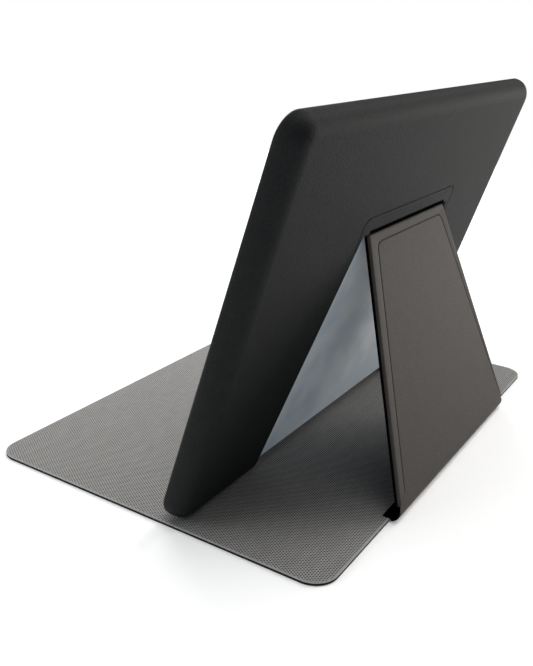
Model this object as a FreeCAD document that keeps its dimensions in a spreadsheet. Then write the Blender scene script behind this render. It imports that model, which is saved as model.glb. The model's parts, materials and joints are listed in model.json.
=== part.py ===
"""Tablet folio on its fold-out stand: the parametric FreeCAD document and its STEP parts.

Row frame, in millimetres: +Z up, +X along the hinges (the cover's long side), +Y from the stand
towards the person who looks at the screen.  The origin is the centre of the cover's underside,
which lies on the table.
"""
import FreeCAD
import Part
import math
import os
import Sketcher
from FreeCAD import Placement, Rotation, Vector

os.makedirs("parts", exist_ok=True)
doc = FreeCAD.newDocument("TabletFolio")

# ---------------------------------------------------------------- driving dimensions
SIZES = {
    # cover that lies on the table
    "cover_width": 264.0,
    "cover_length": 185.0,
    "cover_corner": 11.0,
    "cover_facing": 0.4,
    "cover_board": 0.7,
    "cover_seam": 4.0,
    # case around the tablet
    "case_width": 264.0,
    "case_height": 185.0,
    "case_depth": 12.0,
    "case_corner": 11.0,
    "case_back_round": 8.0,
    "case_front_round": 3.0,
    "case_skin": 0.8,
    "case_back_wall": 3.0,
    "case_lining": 0.4,
    "case_side_wall": 4.0,
    "case_lip": 1.4,
    "case_lip_width": 6.0,
    "case_shift": -1.0,
    "case_tilt": 73.2,
    "case_back_edge": -21.0,
    "case_edge_drop": -0.3,
    # trapezoid opening in the back of the case
    "recess_top_half": 49.0,
    "recess_foot_half": 78.0,
    "recess_round": 1.5,
    "hinge_height": 124.5,
    "patch_half": 54.0,
    "patch_height": 20.0,
    "patch_rise": 9.5,
    "patch_corner": 6.0,
    "groove_width": 0.8,
    "groove_depth": 0.3,
    # fold-out stand
    "stand_shift": 3.5,
    "stand_top_half": 44.5,
    "stand_foot_half": 73.0,
    "stand_reach": 120.2,
    "stand_top_gap": 0.9,
    "stand_foot_gap": 1.2,
    "stand_skin": 0.6,
    "stand_board": 1.7,
    "stand_lining": 0.5,
    "stand_seam": 3.0,
    # flexible hinges
    "foot_axis_back": -92.8,
    "foot_axis_rise": 4.1,
    "curl_radius": 4.0,
    "curl_sheet": 0.9,
    "curl_inset": 3.0,
    "tab_reach": 6.0,
    "tab_sheet": 0.5,
    "spine_radius": 0.45,
    # tablet
    "tablet_corner": 9.0,
    "tablet_edge_round": 1.5,
    "tablet_depth": 7.6,
    "glass_sheet": 0.8,
    "glass_inset": 0.5,
    "housing_side": 2.0,
    "housing_back": 0.9,
    "display_sheet": 1.6,
    "display_margin": 9.0,
    "battery_sheet": 3.6,
    "battery_width": 92.0,
    "battery_height": 128.0,
    "battery_offset": 58.0,
    "board_sheet": 1.2,
    "board_width": 18.0,
    "board_height": 128.0,
    "speaker_width": 34.0,
    "speaker_height": 14.0,
    "speaker_sheet": 3.6,
    "speaker_offset": 88.0,
    "camera_radius": 3.0,
    "camera_sheet": 2.4,
    "socket_width": 12.0,
    "socket_sheet": 3.2,
    "socket_reach": 7.5,
    # buttons on the tablet's right-hand edge
    "button_sheet": 2.4,
    "button_reach": 2.6,
    "button_proud": 0.7,
    "power_length": 11.0,
    "power_height": 158.0,
    "volume_length": 22.0,
    "volume_height": 132.0,
    "socket_height": 40.0,
    "button_play": 0.3,
    "rocker_rib": 0.9,
    "cutout_depth": 7.0,
    "cutout_margin": 3.0,
}
sheet = doc.addObject("Spreadsheet::Sheet", "sizes")
for row, (alias, value) in enumerate(SIZES.items(), start=1):
    sheet.set(f"A{row}", alias.replace("_", " "))
    sheet.set(f"B{row}", str(value))
    sheet.setAlias(f"B{row}", alias)
doc.recompute()


def size(alias):
    """A driving dimension as a plain number."""
    return float(sheet.get(alias))


# ---------------------------------------------------------------- frames of the leaning pieces
# Case frame: x along the hinge, y from the back face to the screen, z up the slab.
CASE_LEAN = 90.0 - size("case_tilt")
case_place = Placement(
    Vector(size("case_shift"), size("case_back_edge"), size("case_edge_drop")),
    Rotation(Vector(1, 0, 0), CASE_LEAN),
)
HINGE = case_place.multVec(Vector(0, 0, size("hinge_height")))
# Stand frame: x along the hinge, y from the outer face to the inner one, z up towards the hinge.
foot_to_hinge_y = HINGE.y - size("foot_axis_back")
foot_to_hinge_z = HINGE.z - size("foot_axis_rise")
axis_distance = math.hypot(foot_to_hinge_y, foot_to_hinge_z)
stand_angle = math.degrees(
    math.atan2(foot_to_hinge_z, foot_to_hinge_y) - math.asin(size("curl_radius") / axis_distance)
)
stand_place = Placement(
    Vector(size("stand_shift"), HINGE.y, HINGE.z),
    Rotation(Vector(1, 0, 0), stand_angle - 90.0),
)
print(f"hinge axis y {HINGE.y:.4f} z {HINGE.z:.4f}, stand angle {stand_angle:.4f}, axes {axis_distance:.4f}")

nodes = []
tools = []


# ---------------------------------------------------------------- helpers
def make_body(label, is_node=True):
    """An empty PartDesign body; a node is exported, a tool body only shapes other pieces."""
    body = doc.addObject("PartDesign::Body", label)
    body.Label = label
    (nodes if is_node else tools).append(body)
    return body


def make_sketch(body, role, label, offset=None, offset_expression=None):
    """A sketch on one of the body's origin planes, moved along the plane's normal if asked."""
    sketch = body.newObject("Sketcher::SketchObject", label)
    plane = [feature for feature in body.Origin.OriginFeatures if feature.Role == role][0]
    sketch.AttachmentSupport = [(plane, "")]
    sketch.MapMode = "FlatFace"
    if offset is not None:
        sketch.AttachmentOffset = Placement(Vector(0, 0, offset), Rotation())
    if offset_expression:
        sketch.setExpression("AttachmentOffset.Base.z", offset_expression)
    return sketch


def draw_rounded_rectangle(sketch, width, height, radius, low=None, prefix=""):
    """A rectangle with round corners, centred across; centred up too unless its low side is given.

    width, height, radius and low are expressions in the spreadsheet's aliases.  A second rectangle
    in one sketch needs a prefix for the names of its dimensions.
    """
    first = sketch.GeometryCount
    w, h, r = evaluate(width), evaluate(height), evaluate(radius)
    base = -h / 2 if low is None else evaluate(low)
    x, z0, z1 = w / 2, base, base + h
    line = Part.LineSegment
    sides = [
        line(Vector(-x + r, z0, 0), Vector(x - r, z0, 0)),
        line(Vector(x, z0 + r, 0), Vector(x, z1 - r, 0)),
        line(Vector(x - r, z1, 0), Vector(-x + r, z1, 0)),
        line(Vector(-x, z1 - r, 0), Vector(-x, z0 + r, 0)),
    ]
    corners = []
    for cx, cz, start in ((x - r, z0 + r, 270), (x - r, z1 - r, 0), (-x + r, z1 - r, 90), (-x + r, z0 + r, 180)):
        circle = Part.Circle(Vector(cx, cz, 0), Vector(0, 0, 1), r)
        corners.append(Part.ArcOfCircle(circle, math.radians(start), math.radians(start + 90)))
    for side, corner in zip(sides, corners):
        sketch.addGeometry(side, False)
        sketch.addGeometry(corner, False)
    bottom, right, top, left = (first + step for step in (0, 2, 4, 6))
    for index in range(0, 8, 2):
        side, corner, following = first + index, first + index + 1, first + (index + 2) % 8
        sketch.addConstraint(Sketcher.Constraint("Tangent", side, 2, corner, 1))
        sketch.addConstraint(Sketcher.Constraint("Tangent", corner, 2, following, 1))
    for index in (bottom, top):
        sketch.addConstraint(Sketcher.Constraint("Horizontal", index))
    for index in (right, left):
        sketch.addConstraint(Sketcher.Constraint("Vertical", index))
    for index in (3, 5, 7):
        sketch.addConstraint(Sketcher.Constraint("Equal", first + 1, first + index))
    bind(sketch, Sketcher.Constraint("Radius", first + 1, r), f"{prefix}radius", radius)
    bind(sketch, Sketcher.Constraint("DistanceX", left, 1, right, 1, w), f"{prefix}width", width)
    bind(sketch, Sketcher.Constraint("DistanceY", bottom, 1, top, 1, h), f"{prefix}height", height)
    bind(sketch, Sketcher.Constraint("DistanceX", -1, 1, right, 1, w / 2), f"{prefix}half", f"({width}) / 2")
    if low is None:
        bind(sketch, Sketcher.Constraint("DistanceY", bottom, 1, -1, 1, h / 2), f"{prefix}low", f"({height}) / 2")
    elif abs(base) < 1e-9:
        sketch.addConstraint(Sketcher.Constraint("PointOnObject", bottom, 1, -1))
    else:
        bind(sketch, Sketcher.Constraint("DistanceY", -1, 1, bottom, 1, base), f"{prefix}low", low)
    return sketch


def draw_trapezoid(sketch, top_half, foot_half, top, foot):
    """A trapezoid symmetric about the vertical axis, given by half-widths and heights."""
    t, f = evaluate(top_half), evaluate(foot_half)
    z1, z0 = evaluate(top), evaluate(foot)
    points = [Vector(-f, z0, 0), Vector(f, z0, 0), Vector(t, z1, 0), Vector(-t, z1, 0)]
    for index in range(4):
        sketch.addGeometry(Part.LineSegment(points[index], points[(index + 1) % 4]), False)
    for index in range(4):
        sketch.addConstraint(Sketcher.Constraint("Coincident", index, 2, (index + 1) % 4, 1))
    sketch.addConstraint(Sketcher.Constraint("Horizontal", 0))
    sketch.addConstraint(Sketcher.Constraint("Horizontal", 2))
    bind(sketch, Sketcher.Constraint("DistanceX", 0, 1, 0, 2, 2 * f), "foot_width", f"2 * ({foot_half})")
    bind(sketch, Sketcher.Constraint("DistanceX", 2, 2, 2, 1, 2 * t), "top_width", f"2 * ({top_half})")
    bind(sketch, Sketcher.Constraint("DistanceX", -1, 1, 0, 2, f), "foot_half", foot_half)
    bind(sketch, Sketcher.Constraint("DistanceX", -1, 1, 2, 1, t), "top_half", top_half)
    place_height(sketch, 0, z0, "foot", foot)
    place_height(sketch, 2, z1, "top", top)
    return sketch


def place_height(sketch, line, value, name, expression):
    """Hold a horizontal line of a sketch at a height above, below or on the x axis."""
    if value > 0:
        bind(sketch, Sketcher.Constraint("DistanceY", -1, 1, line, 1, value), name, expression)
    elif value < 0:
        bind(sketch, Sketcher.Constraint("DistanceY", line, 1, -1, 1, -value), name, f"-({expression})")
    else:
        sketch.addConstraint(Sketcher.Constraint("PointOnObject", line, 1, -1))


def bind(sketch, constraint, name, expression):
    """Add a named dimension to a sketch and bind it to the spreadsheet."""
    index = sketch.addConstraint(constraint)
    sketch.renameConstraint(index, name)
    sketch.setExpression(f"Constraints.{name}", with_sheet(expression))


def with_sheet(expression):
    """Write an expression of aliases the way the document reads it."""
    words = expression.replace("(", "( ").replace(")", " )").split(" ")
    return " ".join(f"sizes.{word}" if word in SIZES else word for word in words)


def evaluate(expression):
    """The value of an expression of aliases, numbers and + - * / ( )."""
    cell = doc.getObject("sizes")
    probe = cell.evalExpression(with_sheet(expression))
    return float(probe.Value if hasattr(probe, "Value") else probe)


def pad(body, sketch, length, label="Pad", reversed_way=False):
    """Pad a sketch by an expression of aliases."""
    feature = body.newObject("PartDesign::Pad", label)
    feature.Profile = sketch
    feature.Length = evaluate(length)
    feature.setExpression("Length", with_sheet(length))
    feature.Reversed = reversed_way
    sketch.Visibility = False
    doc.recompute()
    return feature


def pocket(body, sketch, length, label="Pocket", reversed_way=False):
    """Pocket a sketch by an expression of aliases and make sure that it removes material."""
    before = body.Shape.Volume
    feature = body.newObject("PartDesign::Pocket", label)
    feature.Profile = sketch
    feature.Length = evaluate(length)
    feature.setExpression("Length", with_sheet(length))
    feature.Reversed = reversed_way
    sketch.Visibility = False
    doc.recompute()
    if body.Shape.Volume > before - 1e-6:
        raise RuntimeError(f"{body.Label}: {label} removed nothing")
    return feature


def fillet(body, base, edges, radius, label="Fillet"):
    """Round the named edges of a feature by an expression of aliases."""
    feature = body.newObject("PartDesign::Fillet", label)
    feature.Base = (base, edges)
    feature.Radius = evaluate(radius)
    feature.setExpression("Radius", with_sheet(radius))
    doc.recompute()
    if "Invalid" in feature.State or "Error" in feature.State:
        raise RuntimeError(f"{body.Label}: {label} failed on {edges}")
    return feature


def edges_in_plane(shape, axis, value, tolerance=1e-4):
    """Names of the edges that lie wholly at one coordinate along an axis."""
    names = []
    for index, edge in enumerate(shape.Edges, start=1):
        box = edge.BoundBox
        low = getattr(box, f"{axis}Min")
        high = getattr(box, f"{axis}Max")
        if abs(low - value) < tolerance and abs(high - value) < tolerance:
            names.append(f"Edge{index}")
    return names


def slab(label, width, height, radius, low, start, depth, is_node=True):
    """A rounded rectangle of the case frame, padded from one depth towards the screen."""
    body = make_body(label, is_node)
    # The XZ plane's normal points towards -Y, so depths are negative offsets and pads are reversed.
    sketch = make_sketch(body, "XZ_Plane", f"{label}_outline", -evaluate(start), with_sheet(f"-({start})"))
    draw_rounded_rectangle(sketch, width, height, radius, low)
    doc.recompute()
    pad(body, sketch, depth, f"{label}_pad", reversed_way=True)
    body.Placement = case_place
    return body


def block(label, width, depth, height, corner, place, is_node=True):
    """A plain box: sizes are expressions, corner and placement are in a leaning frame."""
    box = doc.addObject("Part::Box", label)
    box.Label = label
    for name, expression in (("Length", width), ("Width", depth), ("Height", height)):
        setattr(box, name, evaluate(expression))
        box.setExpression(name, with_sheet(expression))
    box.Placement = place.multiply(Placement(Vector(*[evaluate(part) for part in corner]), Rotation()))
    (nodes if is_node else tools).append(box)
    doc.recompute()
    return box


def cut(label, base, cutters):
    """A boolean cut of one object by several; the operands stop being nodes."""
    for operand in [base] + cutters:
        if operand in nodes:
            nodes.remove(operand)
            tools.append(operand)
    tool = cutters[0]
    if len(cutters) > 1:
        tool = doc.addObject("Part::MultiFuse", f"{label}_tools")
        tool.Shapes = cutters
        tools.append(tool)
    doc.recompute()
    result = doc.addObject("Part::Cut", label)
    result.Label = label
    result.Base = base
    result.Tool = tool
    doc.recompute()
    if result.Shape.Volume > base.Shape.Volume - 1e-6:
        raise RuntimeError(f"{label}: the cut removed nothing")
    nodes.append(result)
    return result


# ---------------------------------------------------------------- cover on the table
def cover_piece(label, inset, start, depth):
    """One layer of the cover, a rounded sheet lying flat."""
    body = make_body(label)
    sketch = make_sketch(body, "XY_Plane", f"{label}_outline", evaluate(start), with_sheet(start))
    draw_rounded_rectangle(
        sketch,
        f"cover_width - 2 * ({inset})",
        f"cover_length - 2 * ({inset})",
        f"cover_corner - ({inset})",
    )
    doc.recompute()
    pad(body, sketch, depth, f"{label}_pad")
    return body


cover_backing = cover_piece("cover_backing", "0", "0", "cover_facing + cover_board")
board_seat = make_sketch(cover_backing, "XY_Plane", "board_seat", evaluate("cover_facing"), with_sheet("cover_facing"))
draw_rounded_rectangle(
    board_seat,
    "cover_width - 2 * cover_seam",
    "cover_length - 2 * cover_seam",
    "cover_corner - cover_seam",
)
doc.recompute()
pocket(cover_backing, board_seat, "cover_board", "board_seat_pocket", reversed_way=True)
cover_board = cover_piece("cover_board", "cover_seam", "cover_facing", "cover_board")
cover_weave = cover_piece("cover_weave", "0", "cover_facing + cover_board", "cover_facing")

# ---------------------------------------------------------------- case: skin, shell and lining
RECESS_SLOPE = "(recess_foot_half - recess_top_half) / (hinge_height + 1)"
recess_shift = size("stand_shift") - size("case_shift")


def recess_sketch(body, label, start, margin, top, foot):
    """The trapezoid opening that the stand folds into, drawn at a depth of the case."""
    sketch = make_sketch(body, "XZ_Plane", label, -evaluate(start), with_sheet(f"-({start})"))
    sketch.AttachmentOffset = Placement(Vector(recess_shift, 0, -evaluate(start)), Rotation())
    sketch.setExpression("AttachmentOffset.Base.z", with_sheet(f"-({start})"))
    draw_trapezoid(
        sketch,
        f"recess_foot_half + {margin} - {RECESS_SLOPE} * ({top} + 1)",
        f"recess_foot_half + {margin}",
        f"{top} + {margin}",
        foot,
    )
    doc.recompute()
    return sketch


def case_block(label, inset, margin):
    """The case's outside, smaller by an inset, with the recess and the gap under it cut out."""
    body = slab(
        label,
        f"case_width - 2 * {inset}",
        f"case_height - 2 * {inset}",
        f"case_corner - {inset}",
        inset,
        inset,
        f"case_depth - 2 * {inset}",
        is_node=False,
    )
    shallow = evaluate(inset)
    deep = size("case_depth") - shallow
    back_edges = edges_in_plane(body.Tip.Shape, "Y", shallow)
    fillet(body, body.Tip, back_edges, f"case_back_round - {inset}", "back_round")
    front_edges = edges_in_plane(body.Tip.Shape, "Y", deep)
    fillet(body, body.Tip, front_edges, f"case_front_round - {inset}", "front_round")
    opening = recess_sketch(body, f"{label}_recess", "0", margin, "hinge_height", "-1")
    pocket(body, opening, "case_back_wall", "recess_pocket")
    # Under the recess the bottom wall is cut away too, up to the front lip.
    floor = recess_sketch(body, f"{label}_floor", "0", margin, "case_side_wall", "-1")
    pocket(body, floor, "case_depth - case_lip - 1", "floor_pocket")
    return body


case_outer = case_block("case_outer", "0", "0")
# The leatherette turns over the recess's slanted edges in a soft round.
lip_edges = []
for index, edge in enumerate(case_outer.Tip.Shape.Edges, start=1):
    box = edge.BoundBox
    off_middle = abs(abs(edge.CenterOfMass.x - recess_shift) - size("recess_foot_half"))
    slanted = off_middle < size("recess_foot_half") - size("recess_top_half") + 1
    on_back = box.YMax < 1e-4 and box.ZMax > 100 and box.ZMin < size("case_back_round") + 1
    if slanted and on_back and box.XMax - box.XMin > 1:
        lip_edges.append(f"Edge{index}")
print("recess lip edges", lip_edges)
fillet(case_outer, case_outer.Tip, lip_edges, "recess_round", "recess_round")
# A pressed line frames the strip that is glued over the hinge.
press_line = make_sketch(case_outer, "XZ_Plane", "press_line", 0.0)
press_line.AttachmentOffset = Placement(Vector(recess_shift, 0, 0), Rotation())
draw_rounded_rectangle(
    press_line, "2 * patch_half", "patch_height", "patch_corner", "hinge_height + patch_rise - patch_height"
)
draw_rounded_rectangle(
    press_line,
    "2 * (patch_half - groove_width)",
    "patch_height - 2 * groove_width",
    "patch_corner - groove_width",
    "hinge_height + patch_rise - patch_height + groove_width",
    "inner_",
)
doc.recompute()
pocket(case_outer, press_line, "groove_depth", "press_line_pocket")
case_core = case_block("case_core", "case_skin", "case_skin")
# The pocket that the tablet sits in, and the window that its screen shows through.
tablet_pocket = slab(
    "tablet_pocket",
    "case_width - 2 * case_side_wall",
    "case_height - 2 * case_side_wall",
    "tablet_corner",
    "case_side_wall",
    "case_back_wall - case_lining",
    "tablet_depth + case_lining",
    is_node=False,
)
screen_window = slab(
    "screen_window",
    "case_width - 2 * case_lip_width",
    "case_height - 2 * case_lip_width",
    "tablet_corner - 2",
    "case_lip_width",
    "case_depth - case_lip - 0.5",
    "case_lip + 1",
    is_node=False,
)


def side_cutout(label, length, height):
    """A finger opening through the case's right-hand wall, around a button or socket."""
    return block(
        label,
        "case_side_wall + 2",
        "cutout_depth",
        f"{length} + 2 * cutout_margin",
        (
            "case_width / 2 - case_side_wall - 0.5",
            "case_back_wall + tablet_depth / 2 - cutout_depth / 2",
            f"{height} - {length} / 2 - cutout_margin",
        ),
        case_place,
        is_node=False,
    )


cutouts = [
    side_cutout("power_cutout", "power_length", "power_height"),
    side_cutout("volume_cutout", "volume_length", "volume_height"),
    side_cutout("socket_cutout", "socket_width", "socket_height"),
]
case_skin = cut("case_skin", case_outer, [case_core, tablet_pocket, screen_window] + cutouts)
case_shell = cut("case_shell", case_core, [tablet_pocket, screen_window] + cutouts)
lining_sheet = slab(
    "lining_sheet",
    "case_width - 2 * case_side_wall",
    "case_height - 2 * case_side_wall",
    "tablet_corner",
    "case_side_wall",
    "case_back_wall - case_lining",
    "case_lining",
)
lining_opening = make_body("lining_opening", is_node=False)
lining_outline = recess_sketch(lining_opening, "lining_outline", "0", "case_skin", "hinge_height", "-1")
pad(lining_opening, lining_outline, "case_back_wall", "lining_opening_pad", reversed_way=True)
lining_opening.Placement = case_place
case_lining = cut("case_lining", lining_sheet, [lining_opening])

# ---------------------------------------------------------------- tablet
tablet_housing = slab(
    "tablet_housing",
    "case_width - 2 * case_side_wall",
    "case_height - 2 * case_side_wall",
    "tablet_corner",
    "case_side_wall",
    "case_back_wall",
    "tablet_depth - glass_sheet",
)
fillet(
    tablet_housing,
    tablet_housing.Tip,
    edges_in_plane(tablet_housing.Tip.Shape, "Y", size("case_back_wall")),
    "tablet_edge_round",
    "edge_round",
)
housing_hollow = make_sketch(
    tablet_housing,
    "XZ_Plane",
    "housing_hollow",
    -evaluate("case_back_wall + housing_back"),
    with_sheet("-(case_back_wall + housing_back)"),
)
draw_rounded_rectangle(
    housing_hollow,
    "case_width - 2 * case_side_wall - 2 * housing_side",
    "case_height - 2 * case_side_wall - 2 * housing_side",
    "tablet_corner - housing_side",
    "case_side_wall + housing_side",
)
doc.recompute()
pocket(tablet_housing, housing_hollow, "tablet_depth", "hollow_pocket", reversed_way=False)

TABLET_MIDDLE = "case_height / 2"
HOLLOW_BACK = "case_back_wall + housing_back"
GLASS_BACK = "case_back_wall + tablet_depth - glass_sheet"


def inner_block(label, width, depth, height, centre_x, centre_z, back):
    """A box inside the tablet, centred across and up, its back at a given depth."""
    corner = (f"{centre_x} - {width} / 2", back, f"{centre_z} - {height} / 2")
    return block(label, width, depth, height, corner, case_place)


cover_glass = slab(
    "cover_glass",
    "case_width - 2 * case_side_wall - 2 * glass_inset",
    "case_height - 2 * case_side_wall - 2 * glass_inset",
    "tablet_corner - glass_inset",
    "case_side_wall + glass_inset",
    GLASS_BACK,
    "glass_sheet",
)
display_panel = inner_block(
    "display_panel",
    "(case_width - 2 * case_side_wall - 2 * display_margin)",
    "display_sheet",
    "(case_height - 2 * case_side_wall - 2 * display_margin)",
    "0",
    TABLET_MIDDLE,
    f"{GLASS_BACK} - display_sheet",
)
battery_left = inner_block(
    "battery_left", "battery_width", "battery_sheet", "battery_height", "-battery_offset", TABLET_MIDDLE, HOLLOW_BACK
)
battery_right = inner_block(
    "battery_right", "battery_width", "battery_sheet", "battery_height", "battery_offset", TABLET_MIDDLE, HOLLOW_BACK
)
logic_board = inner_block(
    "logic_board", "board_width", "board_sheet", "board_height", "0", TABLET_MIDDLE, HOLLOW_BACK
)
speaker_left = inner_block(
    "speaker_left", "speaker_width", "speaker_sheet", "speaker_height", "-speaker_offset", "16", HOLLOW_BACK
)
speaker_right = inner_block(
    "speaker_right", "speaker_width", "speaker_sheet", "speaker_height", "speaker_offset", "16", HOLLOW_BACK
)
charging_socket = block(
    "charging_socket",
    "socket_reach",
    "socket_sheet",
    "socket_width",
    (
        "case_width / 2 - case_side_wall - socket_reach",
        "case_back_wall + tablet_depth / 2 - socket_sheet / 2",
        "socket_height - socket_width / 2",
    ),
    case_place,
)
front_camera = doc.addObject("Part::Cylinder", "front_camera")
front_camera.Label = "front_camera"
front_camera.setExpression("Radius", with_sheet("camera_radius"))
front_camera.setExpression("Height", with_sheet("camera_sheet"))
camera_at = Vector(0, evaluate(GLASS_BACK), evaluate("case_height - case_side_wall - display_margin + 3.5"))
front_camera.Placement = case_place.multiply(Placement(camera_at, Rotation(Vector(1, 0, 0), 90)))
nodes.append(front_camera)


def edge_button(label, length, height):
    """A button in the tablet's right-hand edge, and the hole that it sits in."""
    button = block(
        label,
        "button_reach + button_proud",
        "button_sheet",
        length,
        (
            "case_width / 2 - case_side_wall - button_reach",
            "case_back_wall + tablet_depth / 2 - button_sheet / 2",
            f"{height} - {length} / 2",
        ),
        case_place,
    )
    hole = block(
        f"{label}_hole",
        "housing_side + 2",
        "button_sheet + 2 * button_play",
        f"{length} + 2 * button_play",
        (
            "case_width / 2 - case_side_wall - housing_side - 1",
            "case_back_wall + tablet_depth / 2 - button_sheet / 2 - button_play",
            f"{height} - {length} / 2 - button_play",
        ),
        case_place,
        is_node=False,
    )
    return button, hole


power_button, power_hole = edge_button("power_button", "power_length", "power_height")
rocker_bar, volume_hole = edge_button("rocker_bar", "volume_length", "volume_height")
# The volume key rocks on a round rib across the middle of its inner face.
rocker_rib = doc.addObject("Part::Cylinder", "rocker_rib")
rocker_rib.setExpression("Radius", with_sheet("rocker_rib"))
rocker_rib.setExpression("Height", with_sheet("button_sheet"))
rib_at = Vector(
    evaluate("case_width / 2 - case_side_wall - button_reach"),
    evaluate("case_back_wall + tablet_depth / 2 + button_sheet / 2"),
    evaluate("volume_height"),
)
rocker_rib.Placement = case_place.multiply(Placement(rib_at, Rotation(Vector(1, 0, 0), 90)))
volume_rocker = doc.addObject("Part::MultiFuse", "volume_rocker")
volume_rocker.Label = "volume_rocker"
volume_rocker.Shapes = [rocker_bar, rocker_rib]
nodes.remove(rocker_bar)
tools.extend([rocker_bar, rocker_rib])
nodes.append(volume_rocker)
rib_axis = case_place.multVec(rib_at)
print(f"rocker axis x {rib_axis.x:.4f} y {rib_axis.y:.4f} z {rib_axis.z:.4f}")
housing_body = tablet_housing
housing_body.Label = "housing_tray"
tablet_housing = cut("tablet_housing_cut", housing_body, [power_hole, volume_hole, charging_socket])
tablet_housing.Label = "tablet_housing"
tools.remove(charging_socket)
nodes.append(charging_socket)

# ---------------------------------------------------------------- stand
STAND_TOP = "-(stand_top_gap)"
STAND_FOOT = "-(stand_reach - stand_foot_gap)"
SLOPE = "(stand_foot_half - stand_top_half) / stand_reach"


def stand_piece(label, inset, start, depth):
    """One layer of the stand: the trapezoid, smaller by an inset, padded inwards from a depth."""
    body = make_body(label)
    sketch = make_sketch(body, "XZ_Plane", f"{label}_outline", -evaluate(start), with_sheet(f"-({start})"))
    draw_trapezoid(
        sketch,
        f"stand_top_half + {SLOPE} * stand_top_gap - ({inset})",
        f"stand_foot_half - {SLOPE} * stand_foot_gap - ({inset})",
        f"-(stand_top_gap + {inset})",
        f"-(stand_reach - stand_foot_gap - {inset})",
    )
    doc.recompute()
    pad(body, sketch, depth, f"{label}_pad", reversed_way=True)
    body.Placement = stand_place
    return body


stand_skin = stand_piece("stand_skin", "0", "0", "stand_skin + stand_board")
skin_sides = [
    f"Edge{index}"
    for index, edge in enumerate(stand_skin.Tip.Shape.Edges, start=1)
    if edge.BoundBox.YMax - edge.BoundBox.YMin > 1 and edge.BoundBox.ZMin < -100
]
fillet(stand_skin, stand_skin.Tip, skin_sides, "stand_seam", "foot_corners")
stand_seat = make_sketch(
    stand_skin, "XZ_Plane", "stand_seat", -evaluate("stand_skin"), with_sheet("-(stand_skin)")
)
draw_trapezoid(
    stand_seat,
    f"stand_top_half + {SLOPE} * stand_top_gap - stand_seam",
    f"stand_foot_half - {SLOPE} * stand_foot_gap - stand_seam",
    "-(stand_top_gap + stand_seam)",
    "-(stand_reach - stand_foot_gap - stand_seam)",
)
doc.recompute()
pocket(stand_skin, stand_seat, "stand_board + 1", "stand_seat_pocket", reversed_way=False)
stand_board = stand_piece("stand_board", "stand_seam", "stand_skin", "stand_board")
stand_lining = stand_piece("stand_lining", "1", "stand_skin + stand_board", "stand_lining")

# ---------------------------------------------------------------- flexible hinges
# Foot: a curled strip from the cover's rear edge, under the stand's foot and up its outer face.
foot_axis = Vector(0, size("foot_axis_back"), size("foot_axis_rise"))
curl_width = evaluate("2 * (stand_foot_half - curl_inset)")


def curl_face(inner, outer, start, end):
    """A ring sector in the YZ plane around the foot axis, angles in degrees from +Y to +Z."""

    def at(radius, angle):
        turn = math.radians(angle)
        return Vector(0, foot_axis.y + radius * math.cos(turn), foot_axis.z + radius * math.sin(turn))

    middle = (start + end) / 2
    wire = Part.Wire(
        [
            Part.Arc(at(outer, start), at(outer, middle), at(outer, end)).toShape(),
            Part.LineSegment(at(outer, end), at(inner, end)).toShape(),
            Part.Arc(at(inner, end), at(inner, middle), at(inner, start)).toShape(),
            Part.LineSegment(at(inner, start), at(outer, start)).toShape(),
        ]
    )
    return Part.Face(wire)


curl_outer = size("curl_radius")
curl_inner = curl_outer - size("curl_sheet")
# The strip starts on the cover's rear edge and ends just short of the stand's foot.
rear_edge = -size("cover_length") / 2
curl_start = 360.0 - math.degrees(math.acos((rear_edge - foot_axis.y) / curl_outer))
curl_end = stand_angle + 90.0
foot_hinge_strip = doc.addObject("Part::Feature", "foot_hinge_strip")
foot_hinge_strip.Label = "foot_hinge_strip"
strip_solid = curl_face(curl_inner, curl_outer, curl_end, curl_start).extrude(Vector(curl_width, 0, 0))
foot_hinge_strip.Shape = strip_solid
foot_hinge_strip.Placement = Placement(Vector(size("stand_shift") - curl_width / 2, 0, 0), Rotation())
nodes.append(foot_hinge_strip)

# The strip's inner end is glued on top of the cover, along the rear edge.
foot_hinge_tab = doc.addObject("Part::Box", "foot_hinge_tab")
foot_hinge_tab.Label = "foot_hinge_tab"
foot_hinge_tab.setExpression("Length", with_sheet("2 * (stand_foot_half - curl_inset)"))
foot_hinge_tab.setExpression("Width", with_sheet("tab_reach"))
foot_hinge_tab.setExpression("Height", with_sheet("tab_sheet"))
tab_rise = evaluate("2 * cover_facing + cover_board")
foot_hinge_tab.Placement = Placement(
    Vector(size("stand_shift") - curl_width / 2, rear_edge + 0.3, tab_rise), Rotation()
)
nodes.append(foot_hinge_tab)

# Top: a thin spine on the hinge axis, held by a web that ends on the recess's upper edge.
spine = doc.addObject("Part::Cylinder", "hinge_spine_bead")
spine.setExpression("Radius", with_sheet("spine_radius"))
spine.setExpression("Height", with_sheet("2 * stand_top_half"))
spine_at = Vector(
    size("stand_shift") - size("case_shift") - size("stand_top_half"),
    size("spine_radius"),
    size("hinge_height") - size("spine_radius"),
)
spine.Placement = case_place.multiply(Placement(spine_at, Rotation(Vector(0, 1, 0), 90)))
tools.append(spine)
bead_axis = case_place.multVec(spine_at)
print(f"hinge bead axis y {bead_axis.y:.4f} z {bead_axis.z:.4f}")
web = block(
    "hinge_spine_web",
    "2 * stand_top_half",
    "2 * spine_radius",
    "spine_radius",
    ("stand_shift - case_shift - stand_top_half", "0", "hinge_height - spine_radius"),
    case_place,
    is_node=False,
)
stand_hinge_strip = doc.addObject("Part::MultiFuse", "stand_hinge_strip")
stand_hinge_strip.Label = "stand_hinge_strip"
stand_hinge_strip.Shapes = [spine, web]
nodes.append(stand_hinge_strip)
doc.recompute()

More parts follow.
